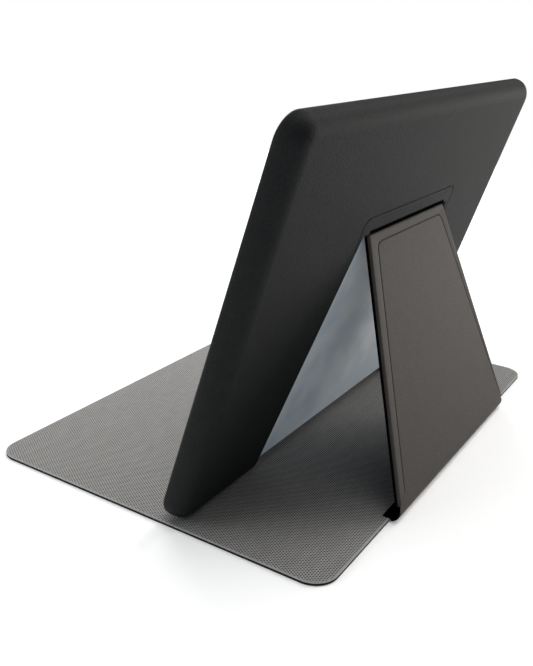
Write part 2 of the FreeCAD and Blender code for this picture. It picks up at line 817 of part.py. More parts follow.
# ---------------------------------------------------------------- checks and export
for item in doc.Objects:
    if any(word in ("Invalid", "Error") for word in item.State):
        raise RuntimeError(f"{item.Label}: state {item.State}")
for node in nodes:
    if node.Shape.isNull() or not node.Shape.isValid():
        raise RuntimeError(f"{node.Label}: the shape is not valid")
    if len(node.Shape.Solids) != 1:
        raise RuntimeError(f"{node.Label}: {len(node.Shape.Solids)} solids in place of one")
    node.Shape.exportStep(os.path.join("parts", f"{node.Label}.step"))
    box = node.Shape.BoundBox
    print(
        f"{node.Label:20s} {node.Shape.Volume:10.1f} mm3  "
        f"x {box.XMin:7.2f} {box.XMax:7.2f}  y {box.YMin:7.2f} {box.YMax:7.2f}  z {box.ZMin:7.2f} {box.ZMax:7.2f}"
    )
print(len(nodes), "nodes")
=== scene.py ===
"""Visual model of a tablet folio standing on its fold-out stand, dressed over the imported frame.

Everything is in metres, in the frame of the CAD model: the folio's cover lies on the table, a
stiff stand rises from the cover's rear edge on a curled hinge strip, and the case that holds the
tablet leans on the stand's top edge.  Each sub-assembly is a class whose fields are its sizes, and
each finish is a frozen dataclass that builds one procedural material.
"""

import json
import logging
import math
from collections.abc import Callable, Iterable, Sequence
from dataclasses import dataclass, field
from enum import Enum
from typing import Any

import bmesh
import bpy
from mathutils import Matrix, Vector

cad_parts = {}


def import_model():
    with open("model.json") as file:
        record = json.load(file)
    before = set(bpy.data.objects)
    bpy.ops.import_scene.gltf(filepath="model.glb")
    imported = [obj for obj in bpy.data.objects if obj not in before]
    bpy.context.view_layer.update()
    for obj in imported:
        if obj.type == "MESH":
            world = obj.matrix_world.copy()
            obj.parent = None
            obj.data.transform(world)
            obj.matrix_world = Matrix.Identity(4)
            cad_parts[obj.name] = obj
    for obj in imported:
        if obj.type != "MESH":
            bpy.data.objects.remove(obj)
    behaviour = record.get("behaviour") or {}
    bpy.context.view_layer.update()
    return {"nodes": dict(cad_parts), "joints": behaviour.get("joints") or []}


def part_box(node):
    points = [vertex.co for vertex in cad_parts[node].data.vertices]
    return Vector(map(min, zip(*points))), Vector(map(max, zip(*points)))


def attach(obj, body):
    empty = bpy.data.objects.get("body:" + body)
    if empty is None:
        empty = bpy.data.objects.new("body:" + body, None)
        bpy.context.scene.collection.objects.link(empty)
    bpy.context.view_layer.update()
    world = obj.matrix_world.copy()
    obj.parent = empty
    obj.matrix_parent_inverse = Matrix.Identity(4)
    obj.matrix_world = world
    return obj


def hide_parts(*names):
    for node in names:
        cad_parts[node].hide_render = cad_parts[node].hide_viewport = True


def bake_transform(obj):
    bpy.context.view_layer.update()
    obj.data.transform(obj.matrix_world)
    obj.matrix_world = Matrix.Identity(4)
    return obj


LOG = logging.getLogger("folio")
MM = 0.001
# The weave's pitch along the hinges and across them, in mm, shared by its relief and its colour.
WEAVE_COLUMN, WEAVE_ROW = 1.3045, 1.0727
# How far the case leans back from upright.
CASE_LEAN = math.radians(16.8)
Library = dict[Enum, bpy.types.Material]
Colour = tuple[float, float, float, float]
Ring = list[Vector]


class Slot(Enum):
    """The record's material slots, one for each finish of the folio and the tablet."""

    OUTER_LEATHERETTE = "outer_leatherette"
    STAND_LEATHERETTE = "stand_leatherette"
    WOVEN_FACING = "woven_facing"
    STIFFENER = "stiffener"
    MOULDED_SHELL = "moulded_shell"
    MICROFIBRE = "microfibre"
    ANODISED_ALUMINIUM = "anodised_aluminium"
    COVER_GLASS = "cover_glass"
    DISPLAY = "display"
    BATTERY_FILM = "battery_film"
    CIRCUIT_BOARD = "circuit_board"
    SPEAKER_BOX = "speaker_box"
    SOCKET_STEEL = "socket_steel"
    CAMERA_LENS = "camera_lens"
    KEY_ALUMINIUM = "key_aluminium"


class Extra(Enum):
    """Finishes of pieces that share a record slot but differ from it to the eye: a near-black tape finish that also
    paints shade.
    """

    HINGE_TAPE = "hinge_tape"


class Body(Enum):
    """The bodies that the joints move."""

    COVER = "cover"
    STAND = "stand"
    CASE = "case"
    POWER_KEY = "power_key"
    VOLUME_KEY = "volume_key"


# ---------------------------------------------------------------------------------------------
# Shader helpers
# ---------------------------------------------------------------------------------------------


def linear(hex_colour: str) -> Colour:
    """Turns an sRGB hex colour into the linear colour that shaders take.

    Args:
        hex_colour: Six hex digits, such as "A0B1C2".

    Returns:
        Linear red, green, blue and an alpha of 1.
    """
    parts = [int(hex_colour[i : i + 2], 16) / 255.0 for i in (0, 2, 4)]
    red, green, blue = (p / 12.92 if p <= 0.04045 else ((p + 0.055) / 1.055) ** 2.4 for p in parts)
    return (red, green, blue, 1.0)


def add_node(
    tree: bpy.types.NodeTree,
    kind: str,
    settings: dict[Any, Any] | None = None,
    links: dict[Any, Any] | None = None,
) -> bpy.types.Node:
    """Adds one node to a tree, sets it and links its inputs.

    Args:
        tree: The shader or geometry tree that takes the node.
        kind: The node's type name.
        settings: Input names or numbers, or the node's own properties, with their values.
        links: Input names or numbers, with the output socket that feeds each.

    Returns:
        The new node.
    """
    node = tree.nodes.new(kind)
    for key, value in (settings or {}).items():
        if isinstance(key, str) and hasattr(node, key) and key not in node.inputs:
            setattr(node, key, value)
    for key, value in (settings or {}).items():
        if isinstance(key, int) or key in node.inputs:
            node.inputs[key].default_value = value
    for key, socket in (links or {}).items():
        tree.links.new(socket, node.inputs[key])
    return node


def blend_colours(tree: bpy.types.NodeTree, factor: Any, low: Any, high: Any) -> Any:
    """Mixes two colours, each a fixed colour or an output socket, by a factor socket.

    Args:
        tree: The shader tree.
        factor: The socket that runs from low, 0, to high, 1.
        low: The colour or socket at 0.
        high: The colour or socket at 1.

    Returns:
        The mixed colour's output socket.
    """
    node = add_node(tree, "ShaderNodeMix", {"data_type": "RGBA"}, {0: factor})
    for place, value in ((6, low), (7, high)):
        if isinstance(value, tuple):
            node.inputs[place].default_value = value
        else:
            tree.links.new(value, node.inputs[place])
    return node.outputs[2]


def spread(
    tree: bpy.types.NodeTree, value: Any, start: float, end: float, low: float = 0.0, high: float = 1.0
) -> Any:
    """Maps a socket's range start to end onto low to high, clamped and smooth.

    Args:
        tree: The tree.
        value: The output socket to map.
        start: The value that gives low.
        end: The value that gives high.
        low: The result at start.
        high: The result at end.

    Returns:
        The mapped output socket.
    """
    settings = {"interpolation_type": "SMOOTHSTEP", 1: start, 2: end, 3: low, 4: high}
    node = add_node(tree, "ShaderNodeMapRange", {"interpolation_type": settings.pop("interpolation_type")})
    for place, number in settings.items():
        node.inputs[place].default_value = number
    tree.links.new(value, node.inputs[0])
    return node.outputs[0]


def reckon(tree: bpy.types.NodeTree, operation: str, first: Any, second: Any = 0.0) -> Any:
    """One sum between numbers or sockets.

    Args:
        tree: The tree.
        operation: The Math node's operation.
        first: A number or an output socket.
        second: A number or an output socket.

    Returns:
        The result's output socket.
    """
    node = add_node(tree, "ShaderNodeMath", {"operation": operation})
    for place, value in ((0, first), (1, second)):
        if isinstance(value, (int, float)):
            node.inputs[place].default_value = value
        else:
            tree.links.new(value, node.inputs[place])
    return node.outputs[0]


# ---------------------------------------------------------------------------------------------
# Finishes
# ---------------------------------------------------------------------------------------------


@dataclass(frozen=True)
class Finish:
    """A surface finish.  A subclass's dress method lays its pattern into the shader."""

    name: str
    colour: str

    def build(self) -> bpy.types.Material:
        """Makes the material with a principled shader and calls dress on it.

        Returns:
            The finished material.
        """
        material = bpy.data.materials.new(self.name)
        material.use_nodes = True
        tree = material.node_tree
        shader = tree.nodes["Principled BSDF"]
        place = add_node(tree, "ShaderNodeTexCoord").outputs["Object"]
        self.dress(tree, shader, place)
        return material

    def dress(self, tree: bpy.types.NodeTree, shader: bpy.types.Node, place: Any) -> None:
        """Lays the finish's pattern into the shader.

        Args:
            tree: The material's node tree.
            shader: Its principled shader.
            place: The socket of object coordinates, in metres.
        """
        shader.inputs["Base Color"].default_value = linear(self.colour)


def noise(tree: bpy.types.NodeTree, place: Any, size_mm: float, detail: float = 2.0) -> Any:
    """A noise whose blotches are about size_mm across.

    Args:
        tree: The shader tree.
        place: The coordinates' socket.
        size_mm: The size of one blotch, in millimetres.
        detail: The number of finer layers.

    Returns:
        The noise's value socket, about 0.3 to 0.7.
    """
    settings = {"Scale": 1.0 / (size_mm * MM), "Detail": detail}
    return add_node(tree, "ShaderNodeTexNoise", settings, {"Vector": place}).outputs[0]


def raise_surface(
    tree: bpy.types.NodeTree, shader: bpy.types.Node, height: Any, depth_mm: float, strength: float = 1.0
) -> None:
    """Feeds a height socket to the shader's normal as a bump of a real depth.

    Args:
        tree: The shader tree.
        shader: The shader that takes the normal.
        height: The height socket, 0 to 1.
        depth_mm: What a height of 1 stands for, in millimetres.
        strength: The bump's strength.
    """
    bump = add_node(tree, "ShaderNodeBump", {"Strength": strength, "Distance": depth_mm * MM}, {"Height": height})
    tree.links.new(bump.outputs[0], shader.inputs["Normal"])


@dataclass(frozen=True)
class Leatherette(Finish):
    """Polyurethane-coated cloth with an embossed pebble grain: matte, with hardly any shine."""

    worn: str = "5A5A5A"
    pebble_mm: float = 0.9
    pebble_depth_mm: float = 0.05
    mottle_mm: float = 7.0
    roughness: float = 0.62
    shine: float = 0.25

    def dress(self, tree: bpy.types.NodeTree, shader: bpy.types.Node, place: Any) -> None:
        """Pebbles from a cell pattern, with mottled colour and pores that are a little darker.

        Args:
            tree: The material's node tree.
            shader: Its principled shader.
            place: The socket of object coordinates.
        """
        # Real embossed grain is 0.3 to 0.5 mm; it is drawn at pebble_mm so that it shows.
        cells = add_node(
            tree,
            "ShaderNodeTexVoronoi",
            {"feature": "SMOOTH_F1", "Scale": 1.0 / (self.pebble_mm * MM), "Smoothness": 0.35},
            {"Vector": place},
        ).outputs["Distance"]
        crown = spread(tree, cells, 0.75, 0.15)
        mottle = spread(tree, noise(tree, place, self.mottle_mm, 3.0), 0.36, 0.64)
        fine = noise(tree, place, 0.35, 1.0)
        tone = reckon(tree, "ADD", reckon(tree, "MULTIPLY", mottle, 0.14), reckon(tree, "MULTIPLY", crown, 0.46))
        tone = reckon(tree, "ADD", tone, reckon(tree, "MULTIPLY", fine, 0.4))
        colour = blend_colours(tree, tone, linear(self.colour), linear(self.worn))
        tree.links.new(colour, shader.inputs["Base Color"])
        shader.inputs["Specular IOR Level"].default_value = self.shine
        rough = spread(tree, fine, 0.3, 0.7, self.roughness - 0.04, self.roughness + 0.06)
        tree.links.new(rough, shader.inputs["Roughness"])
        height = reckon(tree, "ADD", crown, reckon(tree, "MULTIPLY", fine, 0.25))
        raise_surface(tree, shader, height, self.pebble_depth_mm, 0.8)


@dataclass(frozen=True)
class WovenCloth(Finish):
    """Plain-woven polyester facing: light floats with a dark pore between them in every row."""

    pore: str = "141313"
    float_light: str = "9D9A97"
    column_mm: float = WEAVE_COLUMN
    row_mm: float = WEAVE_ROW
    pore_depth_mm: float = 0.10
    pore_span: tuple[float, float] = (-1.2, 1.15)
    roughness: float = 0.7

    def dress(self, tree: bpy.types.NodeTree, shader: bpy.types.Node, place: Any) -> None:
        """Staggered pores from the yarns' own pitch, fading at the heat-pressed rim.

        Args:
            tree: The material's node tree.
            shader: Its principled shader.
            place: The socket of object coordinates.
        """
        axes = add_node(tree, "ShaderNodeSeparateXYZ", None, {0: place})
        turn = 2.0 * math.pi / MM
        across = reckon(tree, "COSINE", reckon(tree, "MULTIPLY", axes.outputs[0], turn / self.column_mm))
        half_row = reckon(tree, "COSINE", reckon(tree, "MULTIPLY", axes.outputs[1], 0.5 * turn / self.row_mm))
        row = reckon(tree, "COSINE", reckon(tree, "MULTIPLY", axes.outputs[1], turn / self.row_mm))
        product = reckon(tree, "MULTIPLY", reckon(tree, "MULTIPLY", across, half_row), 2.0)
        lattice = reckon(tree, "ADD", row, product)
        pore = spread(tree, lattice, *self.pore_span)
        rim = add_node(tree, "ShaderNodeAttribute", {"attribute_name": "rim"}).outputs["Fac"]
        pore = reckon(tree, "MULTIPLY", pore, rim)
        stretched = add_node(tree, "ShaderNodeMapping", {"Scale": (0.12, 1.0, 1.0)}, {"Vector": place}).outputs[0]
        slub = spread(tree, noise(tree, stretched, 0.9, 2.0), 0.3, 0.7)
        yarn = blend_colours(tree, slub, linear(self.colour), linear(self.float_light))
        colour = blend_colours(tree, pore, yarn, linear(self.pore))
        tree.links.new(colour, shader.inputs["Base Color"])
        shader.inputs["Roughness"].default_value = self.roughness
        shader.inputs["Specular IOR Level"].default_value = 0.3
        shader.inputs["Sheen Weight"].default_value = 0.25
        shader.inputs["Sheen Roughness"].default_value = 0.5
        # Each yarn is a twisted bundle: fine threads lie across it, 0.18 mm apart.
        threads = add_node(
            tree,
            "ShaderNodeTexWave",
            {"bands_direction": "DIAGONAL", "Scale": 0.05 / (0.18 * MM), "Distortion": 2.0, "Detail": 1.0},
            {"Vector": place},
        ).outputs["Fac"]
        height = reckon(tree, "SUBTRACT", reckon(tree, "MULTIPLY", threads, 0.15), pore)
        raise_surface(tree, shader, height, self.pore_depth_mm, 0.8)


@dataclass(frozen=True)
class BlastedAluminium(Finish):
    """Aluminium blasted with fine beads, then anodised: a soft metal glow with no streaks."""

    bead_mm: float = 0.25
    roughness: float = 0.55
    metallic: float = 0.12
    cloud: str = "DCE8F0"

    def dress(self, tree: bpy.types.NodeTree, shader: bpy.types.Node, place: Any) -> None:
        """Fine blast pits with faint clouds in the oxide.

        Args:
            tree: The material's node tree.
            shader: Its principled shader.
            place: The socket of object coordinates.
        """
        # The milky oxide scatters part of the light before the metal mirrors it.
        shader.inputs["Metallic"].default_value = self.metallic
        cloud = spread(tree, noise(tree, place, 30.0, 2.0), 0.35, 0.65)
        colour = blend_colours(tree, cloud, linear(self.colour), linear(self.cloud))
        tree.links.new(colour, shader.inputs["Base Color"])
        pits = noise(tree, place, self.bead_mm, 2.0)
        rough = spread(tree, pits, 0.3, 0.7, self.roughness - 0.05, self.roughness + 0.06)
        tree.links.new(rough, shader.inputs["Roughness"])
        raise_surface(tree, shader, pits, 0.012, 0.35)


@dataclass(frozen=True)
class BrushedMetal(Finish):
    """Metal finished with a fine belt: short grain lines along one axis."""

    grain_mm: float = 0.12
    grain_stretch: tuple[float, float, float] = (1.0, 1.0, 0.05)
    roughness: float = 0.34

    def dress(self, tree: bpy.types.NodeTree, shader: bpy.types.Node, place: Any) -> None:
        """Long thin noise streaks for the grain, in roughness and height.

        Args:
            tree: The material's node tree.
            shader: Its principled shader.
            place: The socket of object coordinates.
        """
        shader.inputs["Metallic"].default_value = 1.0
        along = add_node(tree, "ShaderNodeMapping", {"Scale": self.grain_stretch}, {"Vector": place}).outputs[0]
        grain = noise(tree, along, self.grain_mm, 2.0)
        dark = tuple(0.8 * c for c in linear(self.colour)[:3]) + (1.0,)
        colour = blend_colours(tree, grain, dark, linear(self.colour))
        tree.links.new(colour, shader.inputs["Base Color"])
        rough = spread(tree, grain, 0.3, 0.7, self.roughness - 0.08, self.roughness + 0.1)
        tree.links.new(rough, shader.inputs["Roughness"])
        raise_surface(tree, shader, grain, 0.01, 0.4)


@dataclass(frozen=True)
class MouldedPlastic(Finish):
    """Injection-moulded plastic from a spark-eroded tool: an even, fine matte texture."""

    spark_mm: float = 0.3
    roughness: float = 0.5
    lighter: str = "3A3B3D"

    def dress(self, tree: bpy.types.NodeTree, shader: bpy.types.Node, place: Any) -> None:
        """Tool texture in height and roughness, with slow flow marks in the colour.

        Args:
            tree: The material's node tree.
            shader: Its principled shader.
            place: The socket of object coordinates.
        """
        spark = noise(tree, place, self.spark_mm, 3.0)
        flow = spread(tree, noise(tree, place, 22.0, 1.0), 0.35, 0.65)
        colour = blend_colours(tree, flow, linear(self.colour), linear(self.lighter))
        tree.links.new(colour, shader.inputs["Base Color"])
        rough = spread(tree, spark, 0.3, 0.7, self.roughness - 0.05, self.roughness + 0.1)
        tree.links.new(rough, shader.inputs["Roughness"])
        shader.inputs["IOR"].default_value = 1.54
        raise_surface(tree, shader, spark, 0.02, 0.5)


@dataclass(frozen=True)
class Microfibre(Finish):
    """Brushed microfibre lining: a short nap that lightens where the fibres lean."""

    nap: str = "565350"

    def dress(self, tree: bpy.types.NodeTree, shader: bpy.types.Node, place: Any) -> None:
        """Nap direction patches over single fibres, under a soft sheen.

        Args:
            tree: The material's node tree.
            shader: Its principled shader.
            place: The socket of object coordinates.
        """
        lean = spread(tree, noise(tree, place, 14.0, 4.0), 0.4, 0.6)
        fibre = noise(tree, place, 0.3, 3.0)
        tone = reckon(tree, "ADD", reckon(tree, "MULTIPLY", lean, 0.6), reckon(tree, "MULTIPLY", fibre, 0.4))
        colour = blend_colours(tree, tone, linear(self.colour), linear(self.nap))
        tree.links.new(colour, shader.inputs["Base Color"])
        shader.inputs["Roughness"].default_value = 0.95
        shader.inputs["Specular IOR Level"].default_value = 0.15
        shader.inputs["Sheen Weight"].default_value = 0.4
        shader.inputs["Sheen Roughness"].default_value = 0.6
        raise_surface(tree, shader, fibre, 0.06, 0.7)


@dataclass(frozen=True)
class BondedGlass(Finish):
    """Chemically strengthened cover glass over a black printed border and a dark, unlit display."""

    window: str = "0D1013"
    smear_mm: float = 18.0
    shows_display: bool = False
    display_margin: float = 0.7 * MM
    camera_ring: float = 2.9 * MM
    camera_eye: float = 2.2 * MM
    window_blur: float = 0.2 * MM

    def windows(self, tree: bpy.types.NodeTree, place: Any, colour: Any) -> Any:
        """Clears the printed border over the display and over the camera.

        Args:
            tree: The material's node tree.
            place: The socket of object coordinates.
            colour: The colour of the printed border.

        Returns:
            The colour with both windows in it.
        """
        low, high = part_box("display_panel")
        slab = Lean((low + high) / 2.0, CASE_LEAN)
        from_middle = add_node(
            tree, "ShaderNodeVectorMath", {"operation": "SUBTRACT", 1: tuple(slab.origin)}, {0: place}
        ).outputs[0]
        halves = ((Vector((1.0, 0.0, 0.0)), (high.x - low.x) / 2.0), (slab.up, (high.z - low.z) / 2.0 / slab.up.z))
        inside = None
        for axis, half in halves:
            along = add_node(
                tree, "ShaderNodeVectorMath", {"operation": "DOT_PRODUCT", 1: tuple(axis)}, {0: from_middle}
            ).outputs["Value"]
            room = reckon(tree, "SUBTRACT", half - self.display_margin, reckon(tree, "ABSOLUTE", along))
            inside = room if inside is None else reckon(tree, "MINIMUM", inside, room)
        shown = spread(tree, inside, 0.0, 1.5 * self.window_blur)
        colour = blend_colours(tree, shown, colour, linear(self.window))
        low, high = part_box("front_camera")
        eye = add_node(
            tree, "ShaderNodeVectorMath", {"operation": "DISTANCE", 1: tuple((low + high) / 2.0)}, {0: place}
        ).outputs["Value"]
        ring, lens = (
            spread(tree, eye, radius, radius - self.window_blur) for radius in (self.camera_ring, self.camera_eye)
        )
        colour = blend_colours(tree, ring, colour, linear("23262B"))
        return blend_colours(tree, lens, colour, linear("0B0F1E"))

    def dress(self, tree: bpy.types.NodeTree, shader: bpy.types.Node, place: Any) -> None:
        """A black face with a faint wiped film in the gloss.

        Args:
            tree: The material's node tree.
            shader: Its principled shader.
            place: The socket of object coordinates.
        """
        film = spread(tree, noise(tree, place, self.smear_mm, 4.0), 0.35, 0.7)
        border = tuple(1.3 * c for c in linear(self.colour)[:3]) + (1.0,)
        colour = blend_colours(tree, film, linear(self.colour), border)
        if self.shows_display:
            colour = self.windows(tree, place, colour)
        tree.links.new(colour, shader.inputs["Base Color"])
        rough = spread(tree, film, 0.0, 1.0, 0.03, 0.09)
        tree.links.new(rough, shader.inputs["Roughness"])
        shader.inputs["IOR"].default_value = 1.51
        shader.inputs["Coat Weight"].default_value = 0.3
        shader.inputs["Coat Roughness"].default_value = 0.02


@dataclass(frozen=True)
class LayeredBoard(Finish):
    """A laminated part with a cell pattern: fibre board, circuit board or battery film."""

    second: str = "8A7A5E"
    cell_mm: float = 1.2
    metallic: float = 0.0
    roughness: float = 0.6
    depth_mm: float = 0.05

    def dress(self, tree: bpy.types.NodeTree, shader: bpy.types.Node, place: Any) -> None:
        """Cells and streaks in two tones.

        Args:
            tree: The material's node tree.
            shader: Its principled shader.
            place: The socket of object coordinates.
        """
        cells = add_node(
            tree, "ShaderNodeTexVoronoi", {"Scale": 1.0 / (self.cell_mm * MM)}, {"Vector": place}
        ).outputs["Distance"]
        streak = noise(tree, place, 4.0 * self.cell_mm, 3.0)
        tone = reckon(tree, "MULTIPLY", cells, spread(tree, streak, 0.3, 0.7, 0.4, 1.3))
        colour = blend_colours(tree, tone, linear(self.colour), linear(self.second))
        tree.links.new(colour, shader.inputs["Base Color"])
        shader.inputs["Metallic"].default_value = self.metallic
        rough = spread(tree, streak, 0.3, 0.7, self.roughness - 0.08, self.roughness + 0.08)
        tree.links.new(rough, shader.inputs["Roughness"])
        raise_surface(tree, shader, cells, self.depth_mm, 0.5)


@dataclass(frozen=True)
class StudioPaper(Finish):
    """White background paper: a plain sheet with a barely visible fibre."""

    glow: float = 0.2

    def dress(self, tree: bpy.types.NodeTree, shader: bpy.types.Node, place: Any) -> None:
        """Paper fibre in the colour, and no shine.

        Args:
            tree: The material's node tree.
            shader: Its principled shader.
            place: The socket of object coordinates.
        """
        fibre = spread(tree, noise(tree, place, 2.0, 2.0), 0.3, 0.7)
        tree.links.new(
            blend_colours(tree, fibre, linear(self.colour), linear("FBFBFA")), shader.inputs["Base Color"]
        )
        shader.inputs["Roughness"].default_value = 0.95
        shader.inputs["Specular IOR Level"].default_value = 0.0
        # The table glows a little from below, as a lit product table does.
        shader.inputs["Emission Color"].default_value = (1.0, 1.0, 1.0, 1.0)
        shader.inputs["Emission Strength"].default_value = self.glow


@dataclass(frozen=True)
class FinishLibrary:
    """Every finish of the object, by material slot."""

    finishes: tuple[tuple[Enum, Finish], ...] = (
        # Charcoal polyurethane leatherette, embossed; matte, near black where light grazes it.
        (Slot.OUTER_LEATHERETTE, Leatherette("charcoal_leatherette", "151616", worn="202121", shine=0.09)),
        # Black nylon-backed tape of the same coated cloth, near black and without shine: besides the tape's own black
        # it paints the shadow in the slot at the stand's top and the shade on the stand's side.
        (Extra.HINGE_TAPE, Leatherette("black_tape_and_painted_shade", "060606", worn="090909", shine=0.0, pebble_mm=0.6)),
        # The same cloth dyed a warm dark grey, with a slightly flatter grain.
        (
            Slot.STAND_LEATHERETTE,
            Leatherette("warm_grey_leatherette", "35302C", worn="403B37", pebble_depth_mm=0.035, shine=0.2),
        ),
        # Solution-dyed polyester yarns in grey, laminated flat; the pores show the dark backing.
        (Slot.WOVEN_FACING, WovenCloth("woven_polyester_facing", "918F8C")),
        # Dense grey fibre board, hidden between the skins.
        (Slot.STIFFENER, LayeredBoard("fibre_board", "6B655A", second="8A8374", roughness=0.85)),
        # Black polycarbonate blend, spark-eroded.
        (Slot.MOULDED_SHELL, MouldedPlastic("moulded_polycarbonate", "1B1C1E")),
        # Dark grey brushed polyester microfibre.
        (Slot.MICROFIBRE, Microfibre("microfibre_lining", "35332F")),
        # Bead-blasted aluminium with a clear silver oxide that looks slightly blue.
        (Slot.ANODISED_ALUMINIUM, BlastedAluminium("bead_blasted_aluminium", "F1F8FD")),
        # Black-bordered aluminosilicate glass.
        (Slot.COVER_GLASS, BondedGlass("bonded_cover_glass", "040505", window="15191E", shows_display=True)),
        # The unlit display stack seen edge on: near black with a faint cell.
        (Slot.DISPLAY, LayeredBoard("display_stack", "0B0D10", second="14181D", roughness=0.3, cell_mm=0.5)),
        # Aluminium-plastic pouch film, slightly wrinkled.
        (
            Slot.BATTERY_FILM,
            LayeredBoard("pouch_film", "8E9194", second="B5B8BA", cell_mm=9.0, metallic=0.8, roughness=0.35),
        ),
        # Glass-epoxy board under black solder mask.
        (Slot.CIRCUIT_BOARD, LayeredBoard("solder_mask", "101B16", second="2A4A3A", cell_mm=1.6, roughness=0.45)),
        # Black glass-filled nylon.
        (Slot.SPEAKER_BOX, MouldedPlastic("glass_filled_nylon", "141414", lighter="222222")),
        # Drawn stainless steel.
        (Slot.SOCKET_STEEL, BrushedMetal("drawn_stainless_steel", "A9ABAD", grain_stretch=(0.05, 1.0, 1.0))),
        # Black-coated lens glass.
        (Slot.CAMERA_LENS, BondedGlass("coated_lens_glass", "0A0C14", window="141830", smear_mm=1.5)),
        # Anodised aluminium, cut with a diamond tool at its edge.
        (Slot.KEY_ALUMINIUM, BrushedMetal("machined_key_aluminium", "AEB6BD")),
    )

    def build(self) -> Library:
        """Builds every material once.

        Returns:
            The materials by slot.
        """
        return {slot: finish.build() for slot, finish in self.finishes}


# ---------------------------------------------------------------------------------------------
# Mesh helpers
# ---------------------------------------------------------------------------------------------


@dataclass(frozen=True)
class Lean:
    """A place on a leaning slab: x along the hinges, depth into the slab, rise up its face."""

    origin: Vector
    angle: float

    @property
    def across(self) -> Vector:
        """The direction from the slab's rear face into it."""
        return Vector((0.0, math.cos(self.angle), math.sin(self.angle)))

    @property
    def up(self) -> Vector:
        """The direction up the slab's face."""
        return Vector((0.0, -math.sin(self.angle), math.cos(self.angle)))

    def at(self, x: float, depth: float, rise: float) -> Vector:
        """The world point for a place on the slab, in metres."""
        return self.origin + Vector((x, 0.0, 0.0)) + depth * self.across + rise * self.up

    def local_box(self, node: bpy.types.Object) -> tuple[Vector, Vector]:
        """A CAD node's lowest and highest (x, depth, rise), from its own vertices."""
        spots = [v.co - self.origin for v in node.data.vertices]
        rows = [(p.x, p.dot(self.across), p.dot(self.up)) for p in spots]
        low = Vector(tuple(min(r[i] for r in rows) for i in range(3)))
        return low, Vector(tuple(max(r[i] for r in rows) for i in range(3)))


@dataclass(frozen=True)
class Outline:
    """A closed convex outline with round corners, in two flat coordinates.

    Args:
        corners: The sharp corners, counter-clockwise.
        radii: Each corner's radius.
        corner_steps: Faces round each corner.
        side_steps: Faces along each straight side.
    """

    corners: tuple[tuple[float, float], ...]
    radii: tuple[float, ...]
    corner_steps: int = 6
    side_steps: int = 1

    def points(self, inset: float = 0.0) -> list[tuple[float, float]]:
        """The outline's points, moved in by inset; the count is the same for every inset."""
        count = len(self.corners)
        base = [Vector(c) for c in self.corners]
        moved: list[Vector] = []
        for i in range(count):
            back = (base[i] - base[i - 1]).normalized()
            ahead = (base[(i + 1) % count] - base[i]).normalized()
            inward_back = Vector((-back.y, back.x))
            inward_ahead = Vector((-ahead.y, ahead.x))
            bisector = inward_back + inward_ahead
            moved.append(base[i] + bisector * (inset / (1.0 + inward_back.dot(inward_ahead))))
        arcs: list[list[Vector]] = []
        for i in range(count):
            back = (moved[i] - moved[i - 1]).normalized()
            ahead = (moved[(i + 1) % count] - moved[i]).normalized()
            radius = max(self.radii[i] - inset, 0.05 * MM)
            turn = math.acos(max(-1.0, min(1.0, back.dot(ahead))))
            reach = radius * math.tan(turn / 2.0)
            start = moved[i] - back * reach
            centre = start + Vector((-back.y, back.x)) * radius
            arm = start - centre
            arc = []
            for k in range(self.corner_steps + 1):
                angle = turn * k / self.corner_steps
                arc.append(
                    centre
                    + Vector(
                        (
                            arm.x * math.cos(angle) - arm.y * math.sin(angle),
                            arm.x * math.sin(angle) + arm.y * math.cos(angle),
                        )
                    )
                )
            arcs.append(arc)
        out: list[tuple[float, float]] = []
        for i in range(count):
            out += [tuple(p) for p in arcs[i]]
            first, last = arcs[i][-1], arcs[(i + 1) % count][0]
            for k in range(1, self.side_steps):
                out.append(tuple(first.lerp(last, k / self.side_steps)))
        return out


def lofted(mesh: bmesh.types.BMesh, rings: Sequence[Ring], looped: bool = False) -> None:
    """Adds a closed skin over rings of equal length.

    Args:
        mesh: The mesh that takes the faces.
        rings: The rings, in order.
        looped: Joins the last ring to the first, in place of a cap on each.
    """
    rows = [[mesh.verts.new(p) for p in ring] for ring in rings]
    count = len(rows[0])
    for low, high in zip(rows, rows[1:] + (rows[:1] if looped else [])):
        for k in range(count):
            n = (k + 1) % count
            mesh.faces.new((low[k], low[n], high[n], high[k]))
    if not looped:
        mesh.faces.new(list(reversed(rows[0])))
        mesh.faces.new(rows[-1])


def new_piece(name: str, build: Callable[[bmesh.types.BMesh], None], crease: float = 38.0) -> bpy.types.Object:
    """Builds a mesh object whose faces point outwards, smooth up to a crease angle.

    Args:
        name: The piece's name.
        build: What fills the mesh.
        crease: Edges that bend more than this, in degrees, stay sharp.

    Returns:
        The object, linked to the scene, at the origin.
    """
    shape = bmesh.new()
    build(shape)
    bmesh.ops.remove_doubles(shape, verts=shape.verts[:], dist=1e-7)
    bmesh.ops.recalc_face_normals(shape, faces=shape.faces[:])
    for face in shape.faces:
        face.smooth = True
    for edge in shape.edges:
        if len(edge.link_faces) == 2 and edge.calc_face_angle() > math.radians(crease):
            edge.smooth = False
    data = bpy.data.meshes.new(name)
    shape.to_mesh(data)
    shape.free()
    piece = bpy.data.objects.new(name, data)
    bpy.context.scene.collection.objects.link(piece)
    return piece


def finish_piece(
    piece: bpy.types.Object,
    slot: Slot,
    library: Library,
    body: Body | None,
    replaced: Iterable[str],
    finish: Enum | None = None,
) -> None:
    """Dresses a piece with its slot's finish, or the given one, and puts it on its body in place of CAD nodes.

    Args:
        piece: The mesh object.
        slot: The record's slot that gives its finish.
        library: The materials.
        body: The body that it rides on, or None for a piece that lies between two bodies on neither.
        replaced: The CAD nodes that it stands for.
        finish: The finish, where it isn't the slot's own.
    """
    piece.data.materials.clear()
    piece.data.materials.append(library[finish or slot])
    if body is not None:
        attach(piece, body.value)
    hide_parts(*replaced)
    rides = f"rides on {body.value}" if body else "bends between two bodies"
    LOG.info("%s: %d faces, %s", piece.name, len(piece.data.polygons), rides)


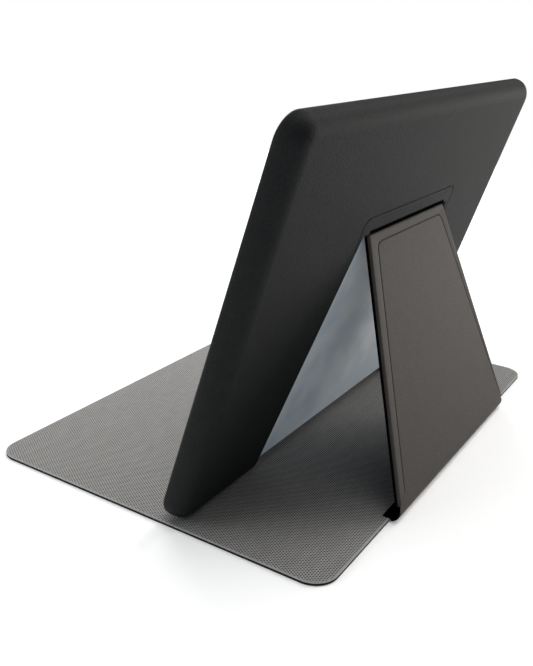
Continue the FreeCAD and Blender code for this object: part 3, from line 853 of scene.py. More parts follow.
def ribbon_section(
    spine: Sequence[tuple[float, float]], half: Sequence[float], steps: int
) -> list[tuple[Vector, Vector, float]]:
    """Samples a smooth spine in the YZ plane.

    Args:
        spine: The control points, (y, z).
        half: The half thickness at each control point.
        steps: Samples between two control points.

    Returns:
        For each sample its point, its unit normal and its half thickness.
    """
    last = len(spine) - 1
    samples: list[tuple[Vector, float]] = []
    for i in range(last):
        p0, p1, p2, p3 = (Vector(spine[max(0, min(last, j))]) for j in (i - 1, i, i + 1, i + 2))
        for k in range(steps + (1 if i == last - 1 else 0)):
            t = k / steps
            point = 0.5 * (
                2.0 * p1 + (p2 - p0) * t + (2.0 * p0 - 5.0 * p1 + 4.0 * p2 - p3) * t * t
                + (3.0 * p1 - p0 - 3.0 * p2 + p3) * t * t * t
            )
            samples.append((point, half[i] + (half[i + 1] - half[i]) * t))
    out = []
    for i, (point, thick) in enumerate(samples):
        ahead = samples[min(i + 1, len(samples) - 1)][0] - samples[max(i - 1, 0)][0]
        ahead.normalize()
        out.append((point, Vector((-ahead.y, ahead.x)), thick))
    return out


def ribbon(
    mesh: bmesh.types.BMesh,
    section: Sequence[tuple[Vector, Vector, float]],
    low: float,
    high: float,
    edge: float,
    stations: int,
    narrowing: Sequence[float] = (),
) -> None:
    """Adds a soft strip: a section in the YZ plane carried along X, with rounded rims.

    Args:
        mesh: The mesh that takes the faces.
        section: What ribbon_section gave.
        low: The strip's lowest x.
        high: The strip's highest x.
        edge: How far the rounding of each end runs in.
        stations: Rings along the strip's middle.
        narrowing: How far each sample's ends are drawn in, in metres; below 0, how far the low
            end alone reaches out.  None if empty.
    """
    middle, reach = (low + high) / 2.0, (high - low) / 2.0
    drawn = list(narrowing) or [0.0] * len(section)
    places = [(0.0, 0.35), (0.3, 0.75), (0.7, 0.95), (1.0, 1.0)]
    xs = [(low + edge * t, s) for t, s in places]
    xs += [(low + edge + (high - low - 2.0 * edge) * k / stations, 1.0) for k in range(1, stations)]
    xs += [(high - edge * t, s) for t, s in reversed(places)]
    rings: list[Ring] = []
    for x, scale in xs:
        share = (x - middle) / reach
        row = [
            (Vector((x - share * (d if d > 0.0 or share < 0.0 else 0.0), *p)), Vector((0.0, *n)), h * scale)
            for (p, n, h), d in zip(section, drawn)
        ]
        ring = [p + n * h for p, n, h in row]
        tip, side, thick = row[-1]
        ring.append(tip + Vector((0.0, side.z, -side.y)) * thick * 0.6)
        ring += [p - n * h for p, n, h in reversed(row)]
        tip, side, thick = row[0]
        ring.append(tip + Vector((0.0, -side.z, side.y)) * thick * 0.6)
        rings.append(ring)
    lofted(mesh, rings)


# ---------------------------------------------------------------------------------------------
# The folio's cover
# ---------------------------------------------------------------------------------------------


@dataclass
class CoverFacing:
    """The woven facing laid over the cover: real floats and pores, with a heat-pressed rim."""

    corner_radius: float = 11.0 * MM
    column_pitch: float = WEAVE_COLUMN * MM
    row_pitch: float = WEAVE_ROW * MM
    pressed_rim: float = 0.75 * MM
    edge_roll: float = 0.25 * MM
    relief: float = 0.07 * MM
    box: tuple[Vector, Vector] = field(init=False)

    def __post_init__(self) -> None:
        """Reads the facing's place from the frame."""
        self.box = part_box("cover_weave")

    def weave_tree(self, material: bpy.types.Material) -> bpy.types.NodeTree:
        """Builds the geometry nodes that weave the facing's upper side.

        Args:
            material: The facing's material, for Set Material.

        Returns:
            The node group, with named inputs for its sizes.
        """
        tree = bpy.data.node_groups.new("weave_the_facing", "GeometryNodeTree")
        sockets = tree.interface
        for name, kind in (
            ("Length", "NodeSocketFloat"),
            ("Depth", "NodeSocketFloat"),
            ("Columns", "NodeSocketInt"),
            ("Rows", "NodeSocketInt"),
            ("Corner radius", "NodeSocketFloat"),
            ("Pressed rim", "NodeSocketFloat"),
            ("Relief", "NodeSocketFloat"),
            ("Top", "NodeSocketFloat"),
        ):
            sockets.new_socket(name, in_out="INPUT", socket_type=kind)
        sockets.new_socket("Mesh", in_out="OUTPUT", socket_type="NodeSocketGeometry")
        size = add_node(tree, "NodeGroupInput").outputs
        sheet = add_node(
            tree,
            "GeometryNodeMeshGrid",
            None,
            {
                "Size X": size["Length"],
                "Size Y": size["Depth"],
                "Vertices X": size["Columns"],
                "Vertices Y": size["Rows"],
            },
        ).outputs["Mesh"]
        spot = add_node(tree, "GeometryNodeInputPosition").outputs[0]
        place = add_node(tree, "ShaderNodeSeparateXYZ", None, {0: spot})
        x, y = place.outputs[0], place.outputs[1]

        def over(axis: Any, side: Any) -> Any:
            """How far a point lies past the corner's centre line along one axis."""
            straight = reckon(tree, "SUBTRACT", reckon(tree, "MULTIPLY", side, 0.5), size["Corner radius"])
            return reckon(tree, "SUBTRACT", reckon(tree, "ABSOLUTE", axis), straight)

        past_x, past_y = over(x, size["Length"]), over(y, size["Depth"])
        arm = add_node(
            tree,
            "ShaderNodeCombineXYZ",
            None,
            {0: reckon(tree, "MAXIMUM", past_x, 0.0), 1: reckon(tree, "MAXIMUM", past_y, 0.0)},
        ).outputs[0]
        reach = add_node(tree, "ShaderNodeVectorMath", {"operation": "LENGTH"}, {0: arm}).outputs["Value"]
        inner = reckon(tree, "MINIMUM", reckon(tree, "MAXIMUM", past_x, past_y), 0.0)
        outside = reckon(tree, "SUBTRACT", reckon(tree, "ADD", reach, inner), size["Corner radius"])

        # The corners are cut off the grid, and the cells that the cut crosses end on its arc.
        beyond = reckon(tree, "GREATER_THAN", outside, 1e-6)
        cut = add_node(tree, "GeometryNodeDeleteGeometry", {"domain": "FACE"}, {0: sheet, 1: beyond}).outputs[0]
        shrink = reckon(tree, "DIVIDE", size["Corner radius"], reckon(tree, "MAXIMUM", reach, 1e-6))
        back = reckon(tree, "SUBTRACT", 1.0, reckon(tree, "MINIMUM", shrink, 1.0))

        def pull_back(axis: Any, past: Any) -> Any:
            """How far a point past the corner's centre line is drawn back along one axis."""
            length = reckon(tree, "MULTIPLY", reckon(tree, "MAXIMUM", past, 0.0), back)
            return reckon(tree, "MULTIPLY", reckon(tree, "SIGN", axis), length)

        pull = add_node(
            tree,
            "ShaderNodeCombineXYZ",
            None,
            {0: pull_back(x, past_x), 1: pull_back(y, past_y)},
        ).outputs[0]
        pulled = add_node(tree, "ShaderNodeVectorMath", {"operation": "SCALE", "Scale": -1.0}, {0: pull}).outputs[0]

        # A pore sinks at every second crossing, and the relief dies away in the pressed rim.
        fade = spread(tree, reckon(tree, "DIVIDE", outside, size["Pressed rim"]), -0.25, -1.0)

        def counted(axis: Any, side: Any, lines: Any) -> Any:
            """Which grid line a point is on along one axis."""
            share = reckon(tree, "ADD", reckon(tree, "DIVIDE", axis, side), 0.5)
            return reckon(tree, "MULTIPLY", share, reckon(tree, "SUBTRACT", lines, 1.0))

        column = counted(x, size["Length"], size["Columns"])
        line = counted(y, size["Depth"], size["Rows"])
        crossing = reckon(tree, "ROUND", reckon(tree, "ADD", column, line))
        sunk = reckon(tree, "SUBTRACT", 1.0, reckon(tree, "FLOORED_MODULO", crossing, 2.0))
        down = reckon(tree, "MULTIPLY", reckon(tree, "MULTIPLY", sunk, size["Relief"]), fade)
        lift = add_node(tree, "ShaderNodeCombineXYZ", None, {2: reckon(tree, "SUBTRACT", size["Top"], down)}).outputs[0]
        shift = add_node(tree, "ShaderNodeVectorMath", {"operation": "ADD"}, {0: pulled, 1: lift}).outputs[0]
        rimmed = add_node(
            tree,
            "GeometryNodeStoreNamedAttribute",
            {"data_type": "FLOAT", "domain": "POINT", "Name": "rim"},
            {"Geometry": cut, "Value": fade},
        ).outputs[0]
        woven = add_node(tree, "GeometryNodeSetPosition", None, {"Geometry": rimmed, "Offset": shift}).outputs[0]
        real = add_node(tree, "GeometryNodeRealizeInstances", None, {"Geometry": woven}).outputs[0]
        dressed = add_node(tree, "GeometryNodeSetMaterial", {"Material": material}, {"Geometry": real}).outputs[0]
        add_node(tree, "NodeGroupOutput", None, {"Mesh": dressed})
        return tree

    def build(self, library: Library) -> bpy.types.Object:
        """Weaves the facing, rolls its edge down to the backing, and lays it on the cover.

        Args:
            library: The materials.

        Returns:
            The facing.
        """
        low, high = self.box
        length = high.x - low.x - 2.0 * self.edge_roll
        depth = high.y - low.y - 2.0 * self.edge_roll
        corner = self.corner_radius - self.edge_roll
        # Even numbers of crossings each side keep a pore at the middle, where the finish has one.
        columns = 2 * round(length / self.column_pitch) + 1
        rows = 2 * round(depth / (2.0 * self.row_pitch)) + 1
        tree = self.weave_tree(library[Slot.WOVEN_FACING])
        holder = bpy.data.objects.new("facing_maker", bpy.data.meshes.new("facing_maker"))
        bpy.context.scene.collection.objects.link(holder)
        maker = holder.modifiers.new("weave", "NODES")
        maker.node_group = tree
        values = {
            "Length": length,
            "Depth": depth,
            "Columns": columns,
            "Rows": rows,
            "Corner radius": corner,
            "Pressed rim": self.pressed_rim,
            "Relief": self.relief,
            "Top": high.z,
        }
        for item in tree.interface.items_tree:
            if item.in_out == "INPUT" and item.name in values:
                maker[item.identifier] = values[item.name]
        woven = bpy.data.meshes.new_from_object(holder.evaluated_get(bpy.context.evaluated_depsgraph_get()))
        holder.modifiers.clear()
        bpy.data.objects.remove(holder)
        shape = bmesh.new()
        shape.from_mesh(woven)
        bpy.data.meshes.remove(woven)
        straight = Vector((length / 2.0 - corner, depth / 2.0 - corner))

        def outward(spot: Vector) -> Vector:
            """The flat direction out of the facing at a point of its edge."""
            past = Vector((max(abs(spot.x) - straight.x, 0.0), max(abs(spot.y) - straight.y, 0.0)))
            past.normalize()
            return Vector((math.copysign(past.x, spot.x), math.copysign(past.y, spot.y), 0.0))

        for vert in shape.verts:
            if vert.is_boundary:
                past = Vector((abs(vert.co.x) - straight.x, abs(vert.co.y) - straight.y))
                if past.x > 0.0 and past.y > 0.0:
                    past *= corner / past.length
                    vert.co.x = math.copysign(straight.x + past.x, vert.co.x)
                    vert.co.y = math.copysign(straight.y + past.y, vert.co.y)
        bmesh.ops.remove_doubles(shape, verts=shape.verts[:], dist=1e-6)
        rim_layer = shape.verts.layers.float.get("rim")
        edge = [e for e in shape.edges if e.is_boundary]
        # How far each step of the edge goes out, and how far it then lies under the facing's top.
        roll = self.edge_roll
        steps = ((0.6 * roll, -0.16 * roll), (0.4 * roll, -0.40 * roll), (0.0, low.z - high.z))
        fallen = 0.0
        for out, sink in steps:
            step = sink - fallen
            fallen = sink
            made = bmesh.ops.extrude_edge_only(shape, edges=edge)["geom"]
            spots = [g for g in made if isinstance(g, bmesh.types.BMVert)]
            for vert in spots:
                vert.co += outward(vert.co) * out + Vector((0.0, 0.0, step))
                if rim_layer is not None:
                    vert[rim_layer] = 0.0
            edge = [g for g in made if isinstance(g, bmesh.types.BMEdge) and g.is_boundary]
        bmesh.ops.edgeloop_fill(shape, edges=edge)
        bmesh.ops.recalc_face_normals(shape, faces=shape.faces[:])
        for face in shape.faces:
            face.smooth = len(face.verts) < 5
        data = bpy.data.meshes.new("woven_facing")
        shape.to_mesh(data)
        shape.free()
        piece = bpy.data.objects.new("woven_facing", data)
        bpy.context.scene.collection.objects.link(piece)
        finish_piece(piece, Slot.WOVEN_FACING, library, Body.COVER, ["cover_weave"])
        return piece


# ---------------------------------------------------------------------------------------------
# The stand and its two hinges
# ---------------------------------------------------------------------------------------------


@dataclass
class StandPanel:
    """The stiff trapezoid stand: wrapped skin with a pressed line, and its lining."""

    lean: Lean
    centre_x: float
    half_top: float = 44.5 * MM
    half_spread: float = 28.5 / 120.2
    head: float = -0.2 * MM
    foot: float = -119.0 * MM
    foot_corner: float = 1.2 * MM
    head_corner: float = 1.0 * MM
    thickness: float = 2.8 * MM
    skin: float = 0.6 * MM
    lining: float = 0.5 * MM
    rolled_edge: float = 1.2 * MM
    seam: float = 1.25 * MM
    line_depth: float = 0.45 * MM
    line_half: float = 0.46 * MM
    line_top_drop: float = 4.7 * MM
    line_top_inset: float = 7.5 * MM
    line_foot_left: float = 6.0 * MM
    line_foot_right: float = 2.3 * MM
    line_corner: float = 5.0 * MM

    def half_width(self, z: float) -> float:
        """Half the stand's width at a height on it, which is negative below the hinge."""
        return self.half_top - z * self.half_spread

    def outline(self) -> Outline:
        """The stand's own outline, from its foot's left corner, seen from behind."""
        corners = (
            (-self.half_width(self.foot), self.foot),
            (self.half_width(self.foot), self.foot),
            (self.half_width(self.head), self.head),
            (-self.half_width(self.head), self.head),
        )
        radii = (self.foot_corner, self.foot_corner, self.head_corner, self.head_corner)
        return Outline(corners, radii, 7, 24)

    def pressed_line(self) -> Outline:
        """The middle of the pressed line, which follows the stand's sides and top."""
        top = self.head - self.line_top_drop
        low = self.foot + 2.0 * MM
        corners = (
            (-self.half_width(low) + self.line_foot_left, low),
            (self.half_width(low) - self.line_foot_right, low),
            (self.half_width(top) - self.line_top_inset, top),
            (-self.half_width(top) + self.line_top_inset, top),
        )
        return Outline(corners, (1.0 * MM, 1.0 * MM, self.line_corner, self.line_corner), 7, 24)

    def ring(self, outline: Outline, inset: float, depth: float, fade: bool = False) -> Ring:
        """A ring of world points at one inset and depth; fade flattens it near the foot."""
        out: Ring = []
        for x, z in outline.points(inset):
            share = 1.0
            if fade:
                share = max(0.0, min(1.0, (z - self.foot - 2.2 * MM) / (4.0 * MM)))
            out.append(self.lean.at(self.centre_x + x, depth * share, z))
        return out

    def build_skin(self, mesh: bmesh.types.BMesh) -> None:
        """The wrapped skin: pressed line, rolled edge, and the back of its rim."""
        line, rim = self.pressed_line(), self.outline()
        w, d, r = self.line_half, self.line_depth, self.rolled_edge
        rings = [
            self.ring(line, inset, depth, True)
            for inset, depth in (
                (w + 0.8 * MM, 0.0),
                (w + 0.12 * MM, 0.0),
                (w - 0.08 * MM, 0.1 * d),
                (0.45 * w, 0.8 * d),
                (0.0, d),
                (-0.45 * w, 0.8 * d),
                (-w + 0.08 * MM, 0.1 * d),
                (-w - 0.08 * MM, 0.0),
            )
        ]
        rings.append(self.ring(rim, r + 0.15 * MM, 0.0))
        rings += [
            self.ring(rim, r * (1.0 - math.sin(math.radians(15.0 * k))), r * (1.0 - math.cos(math.radians(15.0 * k))))
            for k in range(7)
        ]
        for inset, depth in (
            (0.04 * MM, self.seam),
            (3.0 * MM, self.seam),
            (3.0 * MM, self.skin),
        ):
            rings.append(self.ring(rim, inset, depth))
        lofted(mesh, rings)

    def build_edge(self, mesh: bmesh.types.BMesh) -> None:
        """The near-black edge band, from the skin's seam round to the lining; its black paints the shade that falls on
        the stand's side.
        """
        rim, inner = self.outline(), self.thickness
        stages = (
            (3.0 * MM, self.seam + 0.02 * MM),
            (0.12 * MM, self.seam + 0.02 * MM),
            (0.03 * MM, self.seam + 0.08 * MM),
            (0.0, self.seam + 0.2 * MM),
            (0.0, inner - 0.45 * MM),
            (0.12 * MM, inner - 0.12 * MM),
            (0.45 * MM, inner),
            (0.95 * MM, inner),
            (1.0 * MM, inner - 0.05 * MM),
            (1.0 * MM, inner - self.lining),
            (3.0 * MM, inner - self.lining),
        )
        lofted(mesh, [self.ring(rim, inset, depth) for inset, depth in stages], looped=True)

    def build_lining(self, mesh: bmesh.types.BMesh) -> None:
        """The thin lining laid in the skin's inner rim, with a soft edge."""
        rim, top = self.outline(), self.thickness
        rings = [
            self.ring(rim, inset, depth)
            for inset, depth in (
                (1.05 * MM, top - self.lining + 0.01 * MM),
                (1.05 * MM, top - 0.3 * MM),
                (1.2 * MM, top - 0.1 * MM),
                (1.5 * MM, top),
                (1.8 * MM, top),
            )
        ]
        lofted(mesh, rings)

    def build(self, library: Library) -> None:
        """Makes the skin and the lining.

        Args:
            library: The materials.
        """
        skin = new_piece("stand_wrapped_skin", self.build_skin)
        finish_piece(skin, Slot.STAND_LEATHERETTE, library, Body.STAND, ["stand_skin"])
        # The edge band's near-black finish paints the shade on the stand's side.
        edge = new_piece("stand_edge_band_painted_shade", self.build_edge)
        finish_piece(edge, Slot.OUTER_LEATHERETTE, library, Body.STAND, [], Extra.HINGE_TAPE)
        lining = new_piece("stand_inner_lining", self.build_lining)
        finish_piece(lining, Slot.MICROFIBRE, library, Body.STAND, ["stand_lining"])


@dataclass
class CurledFootHinge:
    """The flexible hinge under the stand's foot.

    The stand's own grey skin curls under the foot, and inside it a black tape comes back over the
    cover's rear edge and lies on the cover's top.
    """

    pivot: Vector
    stand: Lean
    ring_box: tuple[Vector, Vector]
    stand_foot: float = -119.0 * MM
    foot_half: float = 72.7 * MM
    outer_radius: float = 4.0 * MM
    skin_half: float = 0.14 * MM
    tape_radius: float = 3.42 * MM
    tape_half: float = 0.3 * MM
    tail_half: float = 0.27 * MM
    tail_reach: float = 3.7 * MM
    foot_flare: float = 1.9 * MM
    tape_reach: float = 2.0 * MM
    cover_top: float = 1.5 * MM
    overlap: float = 4.0 * MM

    def on_circle(self, radius: float, degrees: float) -> tuple[float, float]:
        """A point (y, z) round the pivot, from +Y through +Z."""
        turn = math.radians(degrees)
        return self.pivot.y + radius * math.cos(turn), self.pivot.z + radius * math.sin(turn)

    def tape_spine(self) -> tuple[list[tuple[float, float]], list[float]]:
        """The tape's middle line from its tail on the cover to the stand's foot.

        Returns:
            The control points, (y, z), and the half thickness at each.
        """
        y = self.pivot.y
        lying = self.cover_top + self.tail_half + 0.02 * MM
        points = [
            (y + self.tail_reach, lying),
            (y + 0.6 * self.tail_reach, lying),
            (y + 0.25 * self.tail_reach, lying),
            (y + 0.62 * MM, lying - 0.02 * MM),
            (y - 0.06 * MM, lying - 0.22 * MM),
            (y - 0.7 * MM, lying - 0.7 * MM),
        ]
        half = [0.8 * self.tail_half] + [self.tail_half] * 5
        for angle in (240.0, 225.0, 208.0, 190.0, 172.0):
            points.append(self.on_circle(self.tape_radius, angle))
            half.append(self.tape_half)
        return points, half

    def skin_spine(self) -> tuple[list[tuple[float, float]], list[float], list[float]]:
        """The curled skin's middle line, from the stand's outer face round under its foot.

        Returns:
            The control points, the half thickness at each, and how far each is drawn in.
        """
        points, half, drawn = [], [], []
        for rise, depth, thick, pull in (
            (self.overlap, 0.03 * MM, 0.04 * MM, 3.0 * MM),
            (0.55 * self.overlap, 0.02 * MM, 0.08 * MM, 2.4 * MM),
            (0.15 * self.overlap, 0.06 * MM, self.skin_half, 1.0 * MM),
        ):
            place = self.stand.at(0.0, depth, self.stand_foot + rise)
            points.append((place.y, place.z))
            half.append(thick)
            drawn.append(pull)
        for angle in (168.0, 180.0, 195.0, 210.0, 225.0, 240.0, 255.0, 268.0):
            points.append(self.on_circle(self.outer_radius - self.skin_half, angle))
            half.append(self.skin_half)
            drawn.append(-self.foot_flare * (168.0 - angle) / -100.0)
        return points, half, drawn

    def build(self, library: Library) -> None:
        """Makes the curled skin and the tape, which lie between cover and stand on neither body.

        Args:
            library: The materials.
        """
        middle = self.pivot.x
        low, high = middle - self.foot_half - 0.9 * MM, self.ring_box[1].x + 0.9 * MM
        points, half, drawn = self.skin_spine()
        steps = 6
        section = ribbon_section(points, half, steps)
        pulls = [
            drawn[min(i // steps, len(drawn) - 2)]
            + (drawn[min(i // steps + 1, len(drawn) - 1)] - drawn[min(i // steps, len(drawn) - 2)])
            * (i % steps)
            / steps
            for i in range(len(section))
        ]
        pulls[-1] = drawn[-1]
        skin = new_piece("curled_foot_skin", lambda mesh: ribbon(mesh, section, low, high, 0.4 * MM, 12, pulls))
        finish_piece(skin, Slot.STAND_LEATHERETTE, library, None, ["foot_hinge_strip"])
        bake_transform(skin)
        points, half = self.tape_spine()
        inner = ribbon_section(points, half, 6)
        left, right = low - self.tape_reach, self.ring_box[1].x - 0.2 * MM
        tape = new_piece("black_foot_tape", lambda mesh: ribbon(mesh, inner, left, right, 0.4 * MM, 12))
        finish_piece(tape, Slot.OUTER_LEATHERETTE, library, None, ["foot_hinge_tab"], Extra.HINGE_TAPE)
        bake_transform(tape)


@dataclass
class TopHinge:
    """The thin web that joins the stand's top edge to the back of the case."""

    case: Lean
    stand: Lean
    hinge_rise: float
    box: tuple[Vector, Vector]

    def build(self, library: Library) -> None:
        """Makes the web, which lies between the stand and the case on neither body.

        Args:
            library: The materials.
        """
        spots = [
            self.case.at(0.0, -0.02 * MM, self.hinge_rise + 1.7 * MM),
            self.case.at(0.0, -0.03 * MM, self.hinge_rise + 1.1 * MM),
            self.case.at(0.0, 0.06 * MM, self.hinge_rise + 0.2 * MM),
            self.case.at(0.0, 0.42 * MM, self.hinge_rise - 0.45 * MM),
            self.stand.at(0.0, 1.15 * MM, -0.75 * MM),
            self.stand.at(0.0, 1.25 * MM, -1.3 * MM),
        ]
        section = ribbon_section([(p.y, p.z) for p in spots], [0.14 * MM] + [0.2 * MM] * 4 + [0.15 * MM], 5)
        low, high = self.box[0].x, self.box[1].x
        web = new_piece("top_hinge_web", lambda mesh: ribbon(mesh, section, low, high, 0.3 * MM, 10))
        # The web is black tape; its near-black, shineless finish also paints the shadow in the slot under the stand's
        # top edge.
        finish_piece(web, Slot.OUTER_LEATHERETTE, library, None, ["stand_hinge_strip"], Extra.HINGE_TAPE)
        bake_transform(web)


# ---------------------------------------------------------------------------------------------
# The tablet's small parts
# ---------------------------------------------------------------------------------------------


@dataclass
class EdgeKeys:
    """The power button and the volume rocker, which stand out of the tablet's right edge."""

    case: Lean
    rounding: float = 0.45 * MM
    thumb_dip: float = 0.22 * MM

    def key(self, mesh: bmesh.types.BMesh, low: Vector, high: Vector, dip: float) -> None:
        """Adds one pill-shaped key with a rounded face.

        Args:
            mesh: The mesh that takes the faces.
            low: The key's lowest (x, depth, rise).
            high: The key's highest.
            dip: How far the face sinks at its middle.
        """
        radius = 0.499 * (high.y - low.y)
        corners = ((low.y, low.z), (high.y, low.z), (high.y, high.z), (low.y, high.z))
        outline = Outline(corners, (radius,) * 4, 6, 6)
        middle, reach = (low.z + high.z) / 2.0, (high.z - low.z) / 2.0
        r = self.rounding
        stages = [(0.0, low.x), (0.0, high.x - r)]
        for k in range(1, 6):
            angle = math.radians(18.0 * k)
            stages.append((r * (1.0 - math.cos(angle)), high.x - r + r * math.sin(angle)))
        stages += [(r + 0.25 * MM, high.x), (r + 0.5 * MM, high.x)]
        rings: list[Ring] = []
        for inset, x in stages:
            ring: Ring = []
            for depth, rise in outline.points(inset):
                sink = dip * math.exp(-(((rise - middle) / (0.3 * reach)) ** 2)) if x > high.x - r else 0.0
                ring.append(self.case.at(x - sink, depth, rise))
            rings.append(ring)
        lofted(mesh, rings)

    def build(self, library: Library, nodes: dict[str, bpy.types.Object]) -> None:
        """Makes both keys on their own bodies.

        Args:
            library: The materials.
            nodes: The frame's CAD nodes.
        """
        for name, node, body, dip in (
            ("power_key_cap", "power_button", Body.POWER_KEY, 0.0),
            ("volume_key_cap", "volume_rocker", Body.VOLUME_KEY, self.thumb_dip),
        ):
            low, high = self.case.local_box(nodes[node])
            if dip:
                high = Vector((high.x, min(high.y, low.y + 2.4 * MM), high.z))
            key = new_piece(name, lambda mesh: self.key(mesh, low, high, dip))
            finish_piece(key, Slot.KEY_ALUMINIUM, library, body, [node])


@dataclass
class ChargingSocket:
    """The oval steel socket in the tablet's right edge, with its tongue."""

    case: Lean
    wall: float = 0.3 * MM
    reach: float = 6.2 * MM
    tongue_length: float = 4.6 * MM
    tongue_half: float = 0.35 * MM

    def build(self, library: Library, nodes: dict[str, bpy.types.Object]) -> None:
        """Makes the drawn shell and the tongue inside it.

        Args:
            library: The materials.
            nodes: The frame's CAD nodes.
        """
        low, high = self.case.local_box(nodes["charging_socket"])
        depth = (low.y + high.y) / 2.0
        half = (high.y - low.y) / 2.0
        shell = Outline(((low.y, low.z), (high.y, low.z), (high.y, high.z), (low.y, high.z)), (0.98 * half,) * 4, 6, 2)
        slim = Outline(
            (
                (depth - self.tongue_half, low.z + 2.0 * MM),
                (depth + self.tongue_half, low.z + 2.0 * MM),
                (depth + self.tongue_half, high.z - 2.0 * MM),
                (depth - self.tongue_half, high.z - 2.0 * MM),
            ),
            (0.3 * MM,) * 4,
            4,
            2,
        )

        def socket(mesh: bmesh.types.BMesh) -> None:
            """The shell with its rounded mouth, then the tongue."""
            stages = (
                (0.0, low.x),
                (0.0, high.x - 0.12 * MM),
                (0.05 * MM, high.x - 0.03 * MM),
                (0.5 * self.wall, high.x),
                (self.wall - 0.03 * MM, high.x - 0.05 * MM),
                (self.wall, high.x - 0.2 * MM),
                (self.wall, high.x - self.reach),
            )
            lofted(mesh, [[self.case.at(x, d, s) for d, s in shell.points(inset)] for inset, x in stages])
            base = high.x - self.reach + 0.02 * MM
            tip = base + self.tongue_length
            steps = ((0.0, base), (0.0, tip - 0.15 * MM), (0.1 * MM, tip), (0.15 * MM, tip))
            lofted(mesh, [[self.case.at(x, d, s) for d, s in slim.points(inset)] for inset, x in steps])

        piece = new_piece("steel_charging_socket", socket)
        finish_piece(piece, Slot.SOCKET_STEEL, library, Body.CASE, ["charging_socket"])


# ---------------------------------------------------------------------------------------------
# Studio
# ---------------------------------------------------------------------------------------------


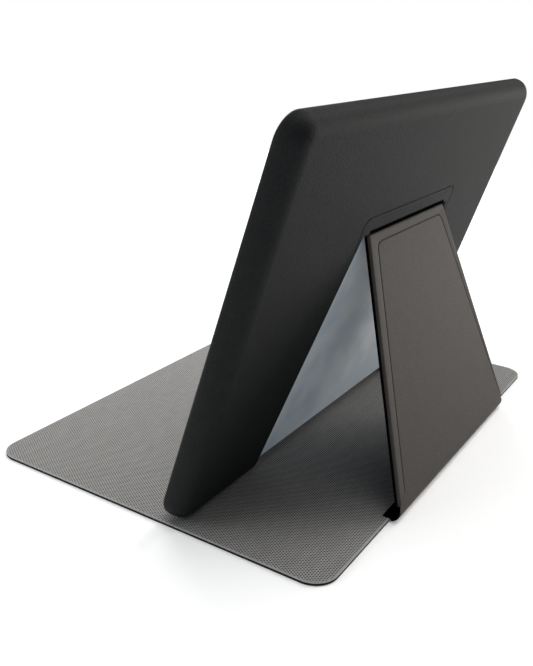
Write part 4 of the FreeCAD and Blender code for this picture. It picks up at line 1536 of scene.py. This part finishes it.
@dataclass
class Studio:
    """The floor, the lights and the camera."""

    camera_place: Vector = field(default_factory=lambda: Vector((-0.37210, -0.20840, 0.20938)))
    camera_right: Vector = field(default_factory=lambda: Vector((0.53434, -0.84442, 0.03795)))
    camera_ahead: Vector = field(default_factory=lambda: Vector((0.79569, 0.48734, -0.35970)))
    lens_mm: float = 45.0
    floor_radius: float = 0.95
    ambient: float = 0.03
    lamp_distance: float = 1.6
    lamp_size: float = 0.9
    softboxes: dict[str, tuple[tuple[float, float, float], float, str]] = field(
        default_factory=lambda: {
            "overhead": ((0.0, 0.0, 1.0), 8.8, "FFFFFF"),
            "high_right": ((0.8, -0.3, 1.0), 12.5, "FFFDFB"),
            "low_right": ((1.0, -0.6, 0.12), 13.0, "FFFDFA"),
            "front_right": ((1.0, 1.0, 0.6), 13.0, "FFFFFF"),
            "front_left": ((-1.0, 1.0, 0.6), 9.6, "F4FCFF"),
            "low_left": ((-1.0, -0.7, 0.02), 6.6, "E2F1FF"),
            "front_high": ((-0.5, 1.0, 1.0), 2.0, "FFFFFF"),
            "high_behind": ((0.0, -0.6, 1.0), 2.0, "FFFFFF"),
        }
    )

    def build_floor(self) -> None:
        """Lays the paper that the cover rests on."""
        paper = StudioPaper("studio_paper", "F5F5F4").build()

        def sheet(mesh: bmesh.types.BMesh) -> None:
            """A flat round of paper just under the cover."""
            turns = [2.0 * math.pi * k / 96 for k in range(96)]
            r = self.floor_radius
            mesh.faces.new([mesh.verts.new((r * math.cos(t), r * math.sin(t), -0.0002)) for t in turns])

        floor = new_piece("studio_floor", sheet)
        if floor.data.polygons[0].normal.z < 0.0:
            floor.data.flip_normals()
        floor.data.materials.append(paper)

    def softbox(self, name: str, place: Vector, aim: Vector, power: float, tint: str) -> None:
        """Hangs one square softbox.

        Args:
            name: The light's name.
            place: Where it hangs.
            aim: What it points at.
            power: Its power, in watts.
            tint: The colour of its light, as hex.
        """
        data = bpy.data.lights.new(name, "AREA")
        data.energy = power
        data.size = self.lamp_size
        data.color = linear(tint)[:3]
        light = bpy.data.objects.new(name, data)
        light.matrix_world = Matrix.Translation(place) @ (aim - place).to_track_quat("-Z", "Y").to_matrix().to_4x4()
        bpy.context.scene.collection.objects.link(light)

    def build_room(self) -> None:
        """Surrounds the studio with a white room that the camera sees and that gives little light."""
        world = bpy.data.worlds.new("white_room")
        bpy.context.scene.world = world
        world.use_nodes = True
        tree = world.node_tree
        seen = add_node(tree, "ShaderNodeLightPath").outputs["Is Camera Ray"]
        strength = spread(tree, seen, 0.0, 1.0, self.ambient, 1.0)
        backdrop = tree.nodes["Background"]
        backdrop.inputs["Color"].default_value = (1.0, 1.0, 1.0, 1.0)
        tree.links.new(strength, backdrop.inputs["Strength"])

    def build_light(self) -> None:
        """Hangs the softboxes: most of the light comes from the right, high and low, and from in front."""
        aim = Vector((0.0, 0.0, 0.06))
        for lamp, (toward, power, tint) in self.softboxes.items():
            self.softbox(lamp, Vector(toward).normalized() * self.lamp_distance, aim, power, tint)

    def build_camera(self) -> None:
        """Sets the camera where the whole folio is seen from behind and to its left."""
        right = self.camera_right.normalized()
        ahead = self.camera_ahead.normalized()
        up = right.cross(ahead).normalized()
        data = bpy.data.cameras.new("camera")
        data.lens = self.lens_mm
        data.sensor_width = 36.0
        data.clip_start = 0.01
        camera = bpy.data.objects.new("camera", data)
        turn = Matrix((right, up, -ahead)).transposed()
        camera.matrix_world = Matrix.Translation(self.camera_place) @ turn.to_4x4()
        bpy.context.scene.collection.objects.link(camera)
        bpy.context.scene.camera = camera
        bpy.context.scene.view_settings.view_transform = "Standard"


def dress_cad(nodes: dict[str, bpy.types.Object], library: Library) -> None:
    """Gives every CAD node the finish that its slot names.

    Args:
        nodes: The frame's CAD nodes.
        library: The materials.
    """
    for name, node in nodes.items():
        for place in node.material_slots:
            base = place.material.name.split(".")[0]
            place.material = library[Slot(base)]
        LOG.info("%s keeps its CAD shape, finish %s", name, node.material_slots[0].material.name)


@dataclass
class Folio:
    """The whole object: cover, stand, hinges, and the tablet in its case."""

    nodes: dict[str, bpy.types.Object]
    joints: dict[str, dict[str, Any]]
    case_angle: float = CASE_LEAN
    stand_angle: float = math.radians(-19.2353)
    bead_radius: float = 0.45 * MM
    hinge_rise: float = 124.5 * MM

    def build(self, library: Library) -> None:
        """Builds each sub-assembly from the joints' places.

        Args:
            library: The materials.
        """
        top = Vector(self.joints["stand_hinge"]["pos_m"])
        flat = Lean(Vector((0.0, 0.0, 0.0)), self.case_angle)
        line = top + self.bead_radius * (flat.up - flat.across)
        line.x = 0.0
        case = Lean(line - self.hinge_rise * flat.up, self.case_angle)
        stand = Lean(line, self.stand_angle)
        CoverFacing().build(library)
        StandPanel(stand, top.x).build(library)
        pivot = Vector(self.joints["foot_hinge"]["pos_m"])
        CurledFootHinge(pivot, stand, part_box("foot_hinge_strip")).build(library)
        TopHinge(case, stand, self.hinge_rise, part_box("stand_hinge_strip")).build(library)
        EdgeKeys(case).build(library, self.nodes)
        ChargingSocket(case).build(library, self.nodes)


def main() -> None:
    """Loads the frame, builds and dresses every piece, and sets up the studio."""
    logging.basicConfig(level=logging.INFO, format="%(message)s")
    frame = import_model()
    library = FinishLibrary().build()
    dress_cad(frame["nodes"], library)
    joints = {joint["name"]: joint for joint in frame["joints"]}
    Folio(frame["nodes"], joints).build(library)
    studio = Studio()
    studio.build_floor()
    studio.build_room()
    studio.build_light()
    studio.build_camera()


if __name__ == "__main__":
    main()
